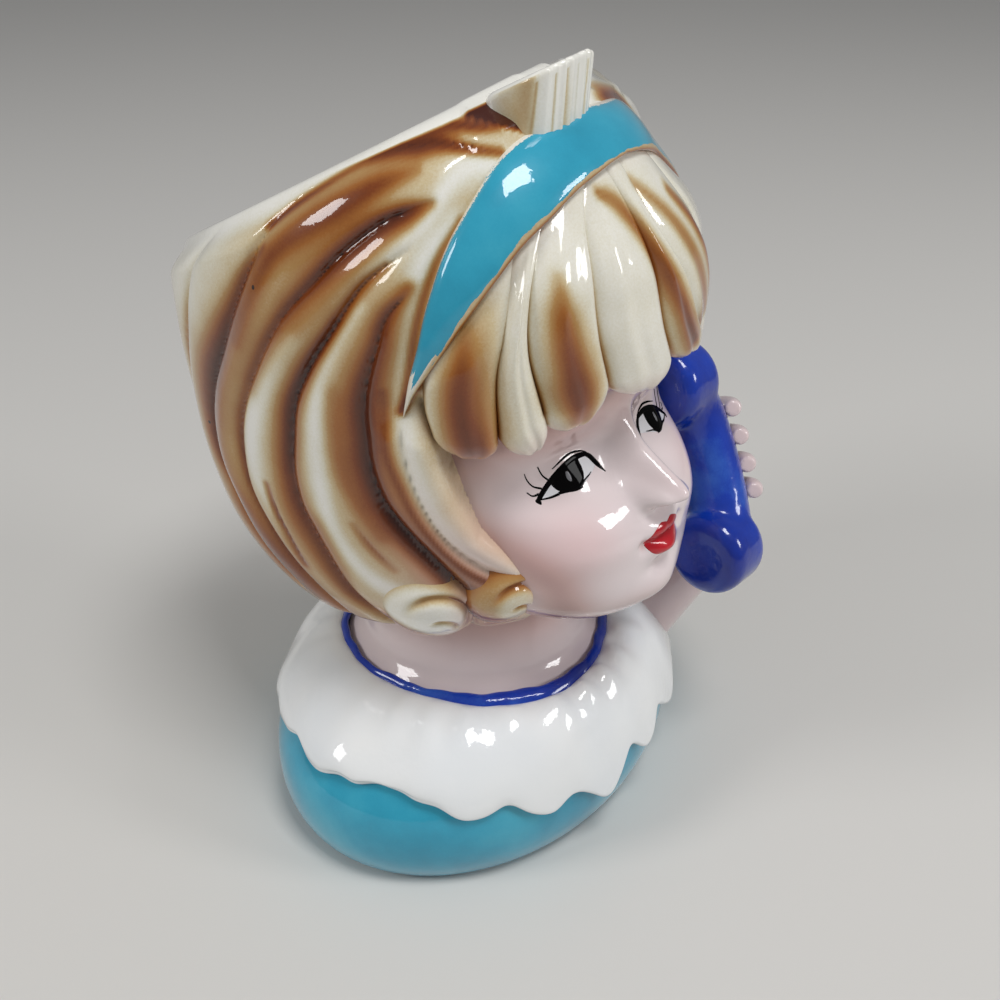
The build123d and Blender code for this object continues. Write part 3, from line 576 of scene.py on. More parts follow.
def glaze(name, paint, ripple=0.35, rough=0.3, coat=1.0, specular=0.12):
    """A glossy fired glaze; paint is given the tree and gives back its colour socket or plain colour."""
    material = bpy.data.materials.new(name)
    material.use_nodes = True
    tree = material.node_tree
    shader = tree.nodes["Principled BSDF"]
    settings = {"Roughness": rough, "IOR": 1.5, "Specular IOR Level": specular, "Coat Weight": coat,
                "Coat Roughness": 0.035, "Coat IOR": 1.5}
    for label, value in settings.items():
        shader.inputs[label].default_value = value
    colour = paint(tree)
    if hasattr(colour, "node"):
        tree.links.new(colour, shader.inputs["Base Color"])
    else:
        shader.inputs["Base Color"].default_value = colour
    bump = tree.nodes.new("ShaderNodeBump")
    bump.inputs["Strength"].default_value = ripple
    bump.inputs["Distance"].default_value = 0.3 * MM
    tree.links.new(placed(tree, "ripple"), bump.inputs["Height"])
    tree.links.new(bump.outputs[0], shader.inputs["Normal"])
    tree.links.new(bump.outputs[0], shader.inputs["Coat Normal"])
    return material


cream = rgb(226, 221, 202)
pit_brown = rgb(40, 26, 22)


def hair_paint(tree):
    """Cream under airbrushed golden to dark brown, the darkest in places painted shade (the hollow beside the tuft,
    the fringe's seams), with a pink blush by the cheeks.
    """
    tone = math_node(tree, "ADD", mark_value(tree, "tone"), placed(tree, "grain", Strength=0.13), clamp=True)
    stops = [
        (0.0, rgb(240, 238, 230)), (0.09, cream), (0.2, rgb(206, 188, 150)), (0.36, rgb(178, 138, 84)),
        (0.56, rgb(158, 98, 42)), (0.76, rgb(124, 60, 18)), (1.0, rgb(70, 24, 8)),
    ]
    brown = ramp(tree, tone, stops)
    blushed = mixed(tree, math_node(tree, "MULTIPLY", mark_value(tree, "blush"), 0.6), brown, rgb(226, 190, 184))
    return mixed(tree, placed(tree, "pits", Share=0.03), blushed, pit_brown)


def skin_paint(tree):
    """Pale pinkish white, with painted brown-pink shade under the hair and in other shaded places, and a blush on the
    cheeks.
    """
    shade = math_node(tree, "ADD", mark_value(tree, "shade"), placed(tree, "grain", Strength=0.05), clamp=True)
    skin = ramp(tree, shade, [(0.0, rgb(230, 217, 218)), (0.5, rgb(206, 174, 170)), (1.0, rgb(146, 100, 88))])
    blushed = mixed(tree, math_node(tree, "MULTIPLY", mark_value(tree, "blush"), 0.5), skin, rgb(232, 160, 158))
    return mixed(tree, placed(tree, "pits", Scale=120.0, Share=0.012, Size=0.06), blushed, pit_brown)


def turquoise_paint(tree):
    """Brushed turquoise, a little uneven in depth."""
    depth = math_node(tree, "ADD", noise_node(tree, 55.0, 4), placed(tree, "grain", Strength=0.12))
    colour = ramp(tree, depth, [(0.25, rgb(34, 136, 166)), (0.55, rgb(48, 160, 190)), (0.85, rgb(76, 180, 204))])
    return mixed(tree, placed(tree, "pits", Scale=150.0, Share=0.03, Size=0.05), colour, rgb(10, 60, 80))


def band_paint(tree):
    """Turquoise brushed over the band, its ragged ends left cream with a brown line in front."""
    brush = math_node(tree, "ADD", mark_value(tree, "paint"), placed(tree, "grain", Strength=0.25))
    covered = math_node(tree, "GREATER_THAN", brush, 0.0)
    return mixed(tree, covered, hair_paint(tree), turquoise_paint(tree))


def cobalt_paint(tree):
    """Brushed cobalt, paler where the brush left it thin."""
    depth = math_node(tree, "ADD", noise_node(tree, 70.0, 4), placed(tree, "grain", Strength=0.1))
    return ramp(tree, depth, [(0.3, rgb(10, 36, 136)), (0.58, rgb(16, 58, 172)), (0.82, rgb(60, 112, 204))])


def white_paint(tree):
    """Clear glaze on white clay, hardly tinted."""
    return ramp(tree, noise_node(tree, 40.0, 2), [(0.3, rgb(230, 234, 237)), (0.7, rgb(240, 241, 240))])


def lip_paint(tree):
    """Brushed red, a little uneven."""
    return ramp(tree, noise_node(tree, 300.0), [(0.3, rgb(166, 10, 26)), (0.7, rgb(194, 20, 36))])


hair_glaze = glaze("cream and brown hair glaze", hair_paint)
skin_glaze = glaze("pale skin glaze", skin_paint, ripple=0.2)
turquoise_glaze = glaze("turquoise glaze", turquoise_paint, ripple=0.3)
band_glaze = glaze("turquoise over cream glaze", band_paint, ripple=0.3)
cobalt_glaze = glaze("cobalt glaze", cobalt_paint, ripple=0.9)
white_glaze = glaze("white glaze", white_paint, ripple=0.5)
eye_glaze = glaze("eye white glaze", lambda tree: rgb(222, 222, 226), ripple=0.1, coat=0.4)
black_glaze = glaze("black line glaze", lambda tree: rgb(8, 7, 8), ripple=0.1, rough=0.5, coat=0.12, specular=0.0)
grey_glaze = glaze("grey eye light glaze", lambda tree: rgb(120, 120, 124), ripple=0.1, coat=0.3)
red_glaze = glaze("red lip glaze", lip_paint, ripple=0.3)


# Hair


def hair_shell():
    """Hair, rim and bowl as one closed wall, swept round the head from under the hem over the rim and down inside."""
    back = np.linspace(118, 180, 45)
    turns = np.concatenate([-back[:0:-1], np.linspace(-118, 118, 341), back[1:]])
    rim, hem = rim_at(turns), hem_at(turns)
    collar = ring(turns, 20, 20, hem + 3)
    rows = [(collar, {})]
    relief, tone, blush = hair_surface(turns, hem + 0.6, rim)
    under = on_hair(turns, hem + 0.6, relief - 2.2)
    for share in (0.35, 0.7, 1.0):
        rows.append((collar * (1 - share) + under * share, {"tone": tone * 0.6}))
    heights = hem + 0.4 + (rim - 1.6 - hem) * np.linspace(0, 1, 190)[:, None]
    table = hair_surface(turns + 0 * heights, heights, rim + 0 * heights)
    for height, relief, tone, blush in zip(heights, *table):
        tuck = 1 - np.sqrt(np.clip(1 - (1 - np.clip((height - hem) / 3, 0, 1)) ** 2, 0, 1))
        rows.append((on_hair(turns, height, relief - 2.6 * tuck), {"tone": tone, "blush": blush}))
    for share in np.linspace(0, 1, 10)[1:-1]:
        height = rim - rim_fall + rim_fall * np.sin(pi * share)
        lift = relief * (1 - share) - rim_wall * (1 - np.cos(pi * share)) / 2
        rows.append((on_hair(turns, height, lift), {}))
    for share in np.linspace(0, 1, 22) ** 0.8:
        height = rim - rim_fall + (bowl_floor - rim + rim_fall) * share
        behind_face = 5.3 * ease(-np.abs(turns), -78, -52) * ease(-height, -124, -108)
        rows.append((on_hair(turns, height, -rim_wall - 0.9 * ease(share, 0.02, 0.2) - behind_face), {}))
    rows += [(ring(turns, neck_hole, neck_hole, bowl_floor - 1), {}), (collar, {})]
    return dress(swept("hair_locks", rows), hair_glaze, "hair_glaze", "hair", "side_lock_right", "side_lock_left")


def seam_point(seam, run):
    """Turn and height along a seam, 0 at the headband and 1 at its lower end."""
    turns, heights = zip(*seam)
    marks = np.linspace(0, 1, len(seam))
    return curve_at(run, marks, turns), curve_at(run, marks, heights)


def fringe():
    """Fringe: rounded locks side by side, from under the headband to tips that stand clear of the brow."""
    fulls = (1.0, 0.92, 1.12, 0.95, 1.05, 0.95, 0.95)
    locks = []
    around = np.linspace(0, 2 * pi, 73)
    across, out = np.cos(around), np.sin(around)
    for k, (tip_turn, tip_height) in enumerate(fringe_tips):
        rows = []
        for run in np.concatenate([np.linspace(-0.05, 1, 44), 1 + np.linspace(0, 1, 18)[1:]]):
            bend = pi / 2 * max(run - 1, 0)
            flow = min(max(run, 0), 1)
            left_turn, left_height = seam_point(fringe_seams[k], flow)
            right_turn, right_height = seam_point(fringe_seams[k + 1], flow)
            middle_turn, middle_height = (left_turn + right_turn) / 2, (left_height + right_height) / 2
            middle_turn += (tip_turn - middle_turn) * sin(bend)
            middle_height += (tip_height - middle_height) * sin(bend)
            narrow = max(cos(bend), 0) ** 0.75
            widen = 1.12 - 0.12 * flow
            turn = middle_turn + across * (right_turn - left_turn) / 2 * widen * narrow
            height = middle_height + across * (right_height - left_height) / 2 * narrow - 120 * min(run, 0)
            strand = 0.22 * np.sin(across * 6 + k + 2 * run) + 0.1 * np.sin(across * 13 + 2 * k)
            rise = ease(run, 0.0, 0.55)
            body = fulls[k] * (0.9 + 2.6 * rise) * (0.25 + 0.75 * narrow)
            shaped = body * np.abs(out) ** 0.8 + strand * np.abs(out) * rise
            lift = np.where(out >= 0, 0.2 + shaped, 0.2 - 3.4 * np.abs(out) * (0.15 + 0.85 * narrow))
            tone = 0.05 + 0.86 * brushed(turn, height, fringe_browns)
            # Painted shade in the seams: each lock darker along its sides where it meets its neighbours
            tone += 0.35 * swell(np.abs(across) - 1, 0.07) * rise * (narrow > 0.9)
            blush = 0.5 * ease(run, 0.85, 1.6)
            rows.append((on_hair(turn, height, lift), {"tone": np.clip(tone, 0, 1), "blush": blush}))
        locks.append(swept(f"fringe_{k + 1}", rows))
    for lock in locks:
        lock.select_set(True)
    bpy.context.view_layer.objects.active = locks[0]
    bpy.ops.object.join()
    piece = bpy.context.view_layer.objects.active
    piece.name = piece.data.name = "fringe_locks"
    piece.select_set(False)
    return dress(piece, hair_glaze, "hair_glaze", *[f"fringe_lock_{k + 1}" for k in range(5)])


def curl(name, side, place, size, reach, tones, node):
    """A roll of hair seen end on, low on the side that the lock comes from, with two curved grooves."""
    rows = []
    around = np.linspace(0, 2 * pi, 145)
    for index, run in enumerate(np.concatenate([np.linspace(0, 1, 60), np.linspace(1, 0, 6)[1:]])):
        across, up = run * np.cos(around), run * np.sin(around)
        outer = np.hypot(across + 0.24, up + 0.02)
        bearing = np.arctan2(up + 0.02, -(across + 0.24))
        groove = swell(outer - 0.56, 0.085) * ease(bearing, -0.9, 0.2) * ease(-bearing, -3.0, -1.9)
        inner = np.hypot(across + 0.3, up + 0.28)
        bearing = np.arctan2(up + 0.28, -(across + 0.3))
        small = swell(inner - 0.27, 0.06) * ease(bearing, -0.6, 0.3) * ease(-bearing, -2.6, -1.6)
        step = 0.1 * ease(outer, 0.56, 0.6) * ease(-outer, -1.2, -0.6) * ease(-across, -0.2, 0.5)
        lift = reach * (1 - run**2.2) ** 0.6 + step - 1.1 * groove - 0.7 * small
        if index >= 60:
            lift = np.full(around.shape, -2.5)
        elif run > 0.985:
            lift = np.minimum(lift, -1.5)
        turn = side * (place[0] + across * size[0] / arc_scale)
        height = place[1] + up * size[1]
        tone = tones[0] * (0.45 + 0.55 * ease(outer, 0.3, 0.6)) + 0.35 * groove + 0.3 * small
        tone += tones[1] * ease(-up + across * 0.5, 0.2, 0.8) + tones[2] * ease(run, 0.62, 0.98)
        blush = np.clip(0.7 * ease(-across, 0.3, 0.8) * (1 - ease(-up, 0.2, 0.7)), 0, 1)
        rows.append((on_hair(turn, height, lift), {"tone": np.clip(tone, 0, 1), "blush": blush}))
    return dress(swept(name, rows), hair_glaze, "hair_glaze", node)


def crown_tuft():
    """Upright strands in front of the rim, flat-topped in its plane."""
    rows = []
    around = np.linspace(0, 2 * pi, 193)
    sine, cosine = np.sin(around), np.cos(around)
    levels = [(level, 1.0, 0.0) for level in np.linspace(0, 1, 36)]
    levels += [(1.0, 1 - 0.13 * (1 - cos(turn)), sin(turn)) for turn in np.linspace(0, pi / 2, 8)[1:]]
    levels += [(1.0, girth, 1.0) for girth in np.linspace(0.87, 0, 7)[1:]]
    for level, closing, rise in levels:
        girth = (0.92 + 0.1 * level) * closing
        x = -6.6 + 7.8 * girth * np.sign(sine) * np.abs(sine) ** 0.75
        folds = 0.42 * np.abs(np.cos(pi * (x + 4.6) / 2.5)) ** 0.6 + 0.15 * np.cos(x * 4.1)
        y = -18.6 - (6.2 + folds * np.clip(cosine, 0, 1)) * girth * np.sign(cosine) * np.abs(cosine) ** 0.6
        top = rim_plane(x, y) - 2.6 * np.clip((x + 3.4) / 4.8, 0, 1) ** 2
        z = tuft_foot + (np.minimum(top, 152) - 1 - tuft_foot) * level + rise
        crease = ease(-np.abs(np.cos(pi * (x + 4.6) / 2.5)), -0.35, 0) * (level < 0.97)
        tone = 0.22 * crease + 0.75 * swell(x + 14.4, 0.9) * (1 - 0.4 * level) * (rise < 0.5)
        tone += 0.12 * swell(x + 8.2, 1.2) * (1 - level)
        rows.append((np.stack([x, y, z], -1), {"tone": np.clip(tone * np.clip(cosine + 0.3, 0, 1), 0, 1)}))
    return dress(swept("tuft_strands", rows), hair_glaze, "hair_glaze", "crown_tuft")


def headband():
    """Raised band over the crown, running out behind the temples, with its brushed paint."""
    marks = np.arange(len(band_rear))
    band_end = 10.4
    rows = []
    around = np.linspace(0, 2 * pi, 65)
    across, rise = np.cos(around), np.sin(around)
    for place in np.linspace(-band_end, band_end, 330):
        side, along = (-1 if place < 0 else 1), abs(place)
        taper = np.sqrt(max(1 - (along / band_end) ** 14, 0))
        front_turn, front_height, rear_turn, rear_height = [
            curve_at(along, marks, [point[i] for point in line]) for line in (band_front, band_rear) for i in (0, 1)]
        past, half = max(along - 10, 0), across / 2 * taper * 1.05
        turn = (front_turn + rear_turn) / 2 + past * 1.2 + half * (rear_turn - front_turn)
        height = (front_height + rear_height) / 2 - past * 4 + half * (rear_height - front_height)
        far = 1 - 0.5 * ease(place, 0.3, 3)
        full = (0.3 + 0.7 * taper) * (1 - 0.3 * ease(along, 7.5, 10)) * far
        lift = np.where(rise > 0, 0.4 + 3.0 * full * np.abs(rise) ** 0.42, 0.4 - 2.4 * np.abs(rise))
        ragged = 0.13 * np.sin(across * 9 + 0.4) + 0.1 * np.sin(across * 23 + 1) + 0.05 * np.sin(across * 51)
        end = 8.55 + ragged - 1.5 * swell(across + 0.55, 0.2) + 0.35 * swell(across + 0.1, 0.3) - along
        edge = np.minimum(0.98 - across, across + 0.72 + 0.03 * np.sin(along * 3) + 0.02 * np.sin(along * 11)) * 3
        tone = 0.66 * swell(across + 0.95, 0.1) + 0.2 * swell(across + 0.7, 0.2) + 0.04
        rows.append((on_hair(side * turn, height, lift), {"paint": np.minimum(end, edge), "tone": tone}))
    return dress(swept("headband_painted", rows), band_glaze, "turquoise_glaze", "headband")


# Face


def stretched(value):
    """Sine or cosine drawn out towards its limits, as on the castings."""
    return np.sign(value) * np.abs(value) ** face_square


# Features beside the nose: how far out, distance from the middle and its reach, height and its reach
face_bumps = (
    (2.2, 3.5, 1.6, 82, 1.7), (-0.9, 1.9, 0.9, 80, 0.7), (-1.3, 11.5, 7, 88.5, 5), (1.7, 11.7, 5, 86.8, 3.4),
    (-0.4, 11.5, 5, 90.9, 0.8), (0.8, 11, 7, 95.5, 2.6), (1.0, 16, 9, 76, 7), (1.6, 0, 4.6, 75.4, 1.8),
    (2.0, 0, 3.8, 71.3, 1.7), (-0.8, 0, 4.4, 73.5, 0.5), (-0.7, 5.6, 1.5, 73.2, 1.6), (-0.35, 0, 1.0, 78.3, 1.1),
    (-0.8, 0, 4.4, 67.6, 1.5), (1.7, 0, 6.5, 62, 4.2),
)


def face_oval(z):
    """Half width and half depth of the plain face at many heights."""
    share = (z - face_bottom) / face_height
    width = face_half_width * curve_at(share, face_levels, face_widths)
    return width, face_depth * curve_at(share, face_levels, face_fronts)


def face_features(x, z):
    """How far the features stand out of the plain face, towards the front."""
    nose_levels = (78, 79, 80.5, 81.8, 83.5, 85, 87, 89, 92, 95, 99)
    side = np.abs(x)
    bridge = curve_at(z, nose_levels, (0, 1.4, 4.9, 8.2, 9.9, 9.4, 7.5, 5.2, 3, 0.9, 0))
    out = bridge * swell(x, curve_at(z, (78, 82, 85, 88, 92, 97), (4.4, 4.1, 3.6, 3.3, 3.4, 4)))
    for amount, away, wide, level, tall in face_bumps:
        out += amount * swell(side - away, wide) * swell(z - level, tall)
    out -= 0.24 * swell(x, 4.6) * swell(z - 75.4, 1.8) * swell(x, 1.0)
    return out


def on_face(x, z, lift=0.0):
    """Points of the face's front, given across and up."""
    width, depth = face_oval(z)
    sine = np.clip(np.abs(x) / width, 0, 0.999) ** (1 / face_square)
    y = face_axis - depth * stretched(np.sqrt(1 - sine * sine)) - face_features(x, z) - lift
    return np.stack([x, y, z], -1)


def face_mask():
    """The face as a closed shell: its sculpted front, and a back that lies hidden in the wall."""
    rows = []
    reach, front_count, levels = 82.0, 301, np.linspace(face_bottom, 113, 190)
    turns = np.concatenate([np.linspace(-reach, reach, front_count), np.linspace(reach, -reach, 41)[1:]])
    front = np.arange(len(turns)) < front_count
    angle = np.radians(turns)
    for step, height in enumerate(levels):
        z = np.full(turns.shape, height)
        width, depth = face_oval(z)
        x = width * stretched(np.sin(angle))
        y = face_axis - depth * stretched(np.cos(angle)) - face_features(x, z)
        ends = 0.6 if step in (0, len(levels) - 1) else 1
        thin = np.where(front, 1, 1 - 0.09 * ease(reach - np.abs(turns), 0, 40) * (ends == 1))
        x, y = x * thin * ends, face_axis + (y - face_axis) * thin * ends
        head_turn = np.degrees(np.arctan2(x / hair_half_width, -(y - hair_axis) / hair_half_depth))
        border = line_distance(head_turn, z, face_window)
        # Painted shade: a painted shadow under the fringe, and painted shade along the hair's edge low on the face,
        # over the eyes, in the nostrils, under the chin, at the mouth's corners and under the lower lip
        painted_fringe_shadow = swell(border, 10) * ease(z, 83, 98)
        shade = painted_fringe_shadow + 0.6 * swell(border, 4.5) * (1 - ease(z, 74, 92))
        shade += 0.22 * swell(np.abs(x) - 11.5, 7) * swell(z - 92.5, 2.6)
        shade += 0.4 * swell(np.abs(x) - 1.9, 1.2) * swell(z - 79.7, 0.8) + 0.6 * ease(-z, -67, -56)
        shade += 0.4 * swell(np.abs(x) - 5.3, 1.0) * swell(z - 73, 0.7) + 0.2 * swell(x, 3) * swell(z - 68.3, 0.9)
        blush = 0.55 * swell(np.abs(x) - 18, 7) * swell(z - 78, 6) + 0.2 * swell(x, 3) * swell(z - 84, 3)
        rows.append((np.stack([x, y, z], -1), {"shade": np.clip(shade, 0, 1), "blush": blush}))
    return dress(swept("face_sculpted", rows), skin_glaze, "skin_glaze", "face")


def painted_patch(name, outline, lift, material):
    """A thin layer of paint on the face inside a closed outline of points across and up."""
    outline = np.array(outline, float)
    outline = np.vstack([outline, outline[:1]])
    fine = np.linspace(0, len(outline) - 1, (len(outline) - 1) * 6 + 1)
    wrapped = np.vstack([outline[-3:-1], outline, outline[1:3]])
    edge_x, edge_z = [curve_at(fine, np.arange(-2, len(outline) + 2), values) for values in wrapped.T]
    middle_x, middle_z = outline[:-1].mean(0)
    rows = []
    for step, run in enumerate([0, 0.15, 0.3, 0.45, 0.6, 0.75, 0.88, 0.96, 1, 0.9, 0.6, 0.3, 0]):
        x, z = middle_x + (edge_x - middle_x) * run, middle_z + (edge_z - middle_z) * run
        rows.append((on_face(x, z, lift * (1 - run**6) if step < 8 else -0.12 * (step > 8)), {}))
    return dress(swept(name, rows), material, "skin_glaze")


def painted_line(name, points, widths):
    """A black brushed line on the face along points across and up, as wide as given at each point."""
    xs, zs = np.array(points, float).T
    marks = np.arange(len(points))
    around = np.linspace(0, 2 * pi, 13)
    rows = []
    for place in np.linspace(0, len(points) - 1, (len(points) - 1) * 8 + 1):
        ahead, behind = min(place + 0.05, marks[-1]), max(place - 0.05, 0)
        run, rise = [curve_at(ahead, marks, values) - curve_at(behind, marks, values) for values in (xs, zs)]
        offset = np.cos(around) * curve_at(place, marks, widths) / 2 / (np.hypot(run, rise) + 1e-9)
        x, z = curve_at(place, marks, xs) - rise * offset, curve_at(place, marks, zs) + run * offset
        rows.append((on_face(x, z, np.sin(around) * 0.12), {}))
    return dress(swept(name, rows), black_glaze, "skin_glaze")


# Eye of the near side, as points across and up; the other eye is the same the other way round
eye_lines = {
    "lid": (((-20.1, 84.9), (-18.9, 85.9), (-17.6, 86.9), (-15.9, 88), (-13.6, 89), (-11.2, 89.5), (-8.9, 89.3),
             (-8.2, 88.9)), (0.5, 0.7, 0.75, 0.85, 0.95, 0.9, 0.7, 0.4)),
    "lid_wedge": (((-9.3, 89.4), (-8.2, 88.7), (-7.3, 87.3), (-6.4, 85.7)), (0.4, 0.95, 1.0, 0.2)),
    "lower_line": (((-19.6, 85.1), (-18.2, 85.1), (-16.6, 85.3)), (0.2, 0.3, 0.4)),
    "lower_fill": (((-16.6, 85.4), (-15.2, 85.5), (-13.8, 85.4), (-12.4, 85.5)), (0.4, 0.6, 0.6, 0.5)),
    "lower_tail": (((-12.6, 85.6), (-11.4, 86.2), (-10.1, 86.5), (-9.4, 86.7)), (0.4, 0.28, 0.2, 0.08)),
    "second_lid": (((-16, 89.1), (-13.9, 89.9), (-11.8, 90.3), (-9.9, 90.1), (-8.6, 89.6)),
     (0.12, 0.3, 0.34, 0.3, 0.1)),
    "lash_1": (((-18.7, 86.6), (-19.8, 87.2), (-20.4, 88.3), (-20.7, 89.6)), (0.36, 0.26, 0.2, 0.08)),
    "lash_2": (((-17.2, 87.6), (-17.9, 88.6), (-18.4, 90.2)), (0.36, 0.26, 0.2)),
    "lash_3": (((-19.4, 85.9), (-20.4, 85.8), (-21, 86.5)), (0.36, 0.26, 0.2)),
}
eye_patches = {
    "eye_white": (((-19.8, 85.1), (-17.6, 86.9), (-15.9, 88), (-13.6, 89), (-11.2, 89.4), (-8.8, 89.2), (-7.5, 87.4),
                   (-8.6, 86.7), (-10.5, 86.2), (-12.8, 85.4), (-15.4, 85.3), (-17.8, 85)), 0.05, eye_glaze),
    "eye_iris": (((-17.248, 86.77), (-16.24, 88.2), (-13.776, 89.3), (-11.088, 89.63), (-10.528, 88.42),
                  (-10.976, 86.77), (-12.32, 85.56), (-14.448, 85.23), (-16.464, 85.45)), 0.12, black_glaze),
    "eye_light": (((-14.4, 87.5), (-14.1, 88.3), (-13.6, 88.2), (-13.5, 87.2), (-13.8, 86.5), (-14.3, 86.8)), 0.18,
                  grey_glaze),
    "eye_corner": (((-20.4, 84.9), (-20, 85.3), (-19.6, 84.9), (-19.9, 84.4)), 0.16, black_glaze),
}


def eye(side, shift):
    """Brushed eye: white, black iris with a grey light, lid lines and lashes."""
    key = "right" if side > 0 else "left"

    def placed_points(points):
        return [(side * across + shift, up) for across, up in points]

    for name, (points, lift, material) in eye_patches.items():
        painted_patch(f"{name}_{key}", placed_points(points), lift, material)
    for name, (points, widths) in eye_lines.items():
        painted_line(f"{name}_{key}", placed_points(points), widths)


lip_top = ((-5.24, 73.3), (-4.45, 74.5), (-3.31, 75.6), (-1.71, 76.3), (-0.57, 76.1), (0, 75.9), (0.57, 76.1),
           (1.71, 76.3), (3.31, 75.6), (4.45, 74.5), (5.24, 73.3), (3.42, 73.2), (1.71, 73.1), (0, 73),
           (-1.71, 73.1), (-3.42, 73.2))
lip_low = ((-5.02, 73.2), (-3.42, 73.3), (-1.71, 73.2), (0, 73.1), (1.71, 73.2), (3.42, 73.3), (5.02, 73.2),
           (4.67, 72.1), (3.65, 71), (2.05, 70.3), (0, 70.1), (-2.05, 70.3), (-3.65, 71), (-4.67, 72.1))


# Dress

bodice_half_width = 48.5
bodice_half_depth = 39.0
bodice_height = 31.5
bodice_levels = (0, 0.1, 0.36, 0.64, 0.88, 1)
bodice_widths = (0.925, 0.965, 1, 0.95, 0.8, 0.66)
bodice_depths = (0.9, 0.945, 1, 0.97, 0.88, 0.81)
bodice_wall = 4.2
bodice_floor = 4.5
neck_opening = 16.5
neck_foot = 31.6
neck_bore = 16.6


def bodice_oval(z):
    """Half width and half depth of the bodice at many heights."""
    share = z / bodice_height
    width = bodice_half_width * curve_at(share, bodice_levels, bodice_widths)
    return width, bodice_half_depth * curve_at(share, bodice_levels, bodice_depths)


def bodice():
    """Turquoise shoulders: rounded foot edge, flat foot, open neck and the hollow inside."""
    turns = np.linspace(-180, 180, 161)
    foot_width, foot_depth = bodice_oval(0.0)
    rows = rings(turns, (0, 0, 0), *[(foot_width * share, foot_depth * share, 0) for share in (0.5, 0.9, 0.965)])
    for z in np.concatenate([[0.35], np.linspace(1, bodice_height - 0.6, 52)]):
        rows += rings(turns, [half - 0.5 * ease(-z, -1.4, 0) for half in bodice_oval(z)] + [z])
    rows += rings(turns, [half - 0.6 for half in bodice_oval(bodice_height)] + [bodice_height],
                  (neck_opening, neck_opening, bodice_height), (neck_opening, neck_opening, bodice_height - 4))
    for z in np.linspace(bodice_height - 4, bodice_floor, 12):
        rows += rings(turns, [half - bodice_wall for half in bodice_oval(z)] + [z])
    rows += rings(turns, (0, 0, bodice_floor))
    return dress(swept("bodice_glazed", rows), turquoise_glaze, "turquoise_glaze", "bodice")


def neck():
    """Pale neck that flares into the shoulders, with a run of glaze down its near side, and painted shade under the
    chin and inside the bore.
    """
    turns = np.linspace(-180, 180, 181)
    rows = []
    drip = swell(turns + 62, 5) + 0.7 * swell(turns + 20, 4)
    for z in np.linspace(neck_foot, 61, 60):
        radius = 21.5 + curve_at(z, (31, 33, 34.4, 36, 39, 44, 61), (6.4, 5.7, 4.2, 2.4, 1, 0.2, 0.2))
        run = 0.5 * drip * ease(z, 36, 44) + 0.12 * np.sin(np.radians(turns) * 3 + z * 0.2)
        # Painted shade, deepest high up on the front under the chin
        shade = ease(z, 36, 55) * (0.45 + 0.4 * np.cos(np.radians(turns + 30)))
        rows.append((ring(turns, radius + run, radius + run, z), {"shade": np.clip(shade, 0, 1), "blush": 0.1}))
    # Painted shade inside the bore
    for z in (61.0, 46.0, neck_foot):
        rows.append((ring(turns, neck_bore, neck_bore, z), {"shade": 0.6}))
    rows += rings(turns, (26.5, 26.5, neck_foot))
    return dress(swept("neck_glazed", rows), skin_glaze, "skin_glaze", "neck")


# Edge of the ruffle and of the painted neckline, as turn and height or radius
ruffle_edge = (
    (-180, 24.5), (-165, 22.5), (-150, 25), (-138, 22.5), (-126, 22.7), (-111, 24.1), (-101, 24.7), (-94, 23.5),
    (-84, 24.9), (-75, 25.7), (-66, 24.4), (-54, 21.2), (-43, 22.1), (-31, 17.9), (-22, 19.2), (-11, 14.4),
    (-1, 20.3), (8, 16.4), (18, 20.6), (30, 16.5), (42, 20.5), (55, 17.5), (68, 21.5), (80, 19), (92, 23),
    (105, 20.5), (120, 24), (135, 21.5), (150, 24.5), (165, 22), (180, 24.5),
)
neckline_outer = (
    (-180, 28.6), (-129, 28.9), (-100, 28.1), (-85, 27.6), (-67, 27.2), (-50, 28.3), (-34, 29.1), (-20, 29.7),
    (-6, 29.1), (11, 28.3), (38, 27.8), (90, 28.4), (140, 28.2), (180, 28.6),
)
neckline_inner = (
    (-180, 26.4), (-104, 26.8), (-87, 25.9), (-69, 25.6), (-50, 25.7), (-32, 26.2), (-16, 26.9), (-1, 26.8),
    (16, 26.2), (34, 25.7), (90, 26.2), (140, 26), (180, 26.4),
)


def bodice_reach(turns, z):
    """Distance of the bodice's surface from the axis."""
    angle = np.radians(turns)
    width, depth = bodice_oval(z)
    return 1 / np.hypot(np.sin(angle) / width, np.cos(angle) / depth)


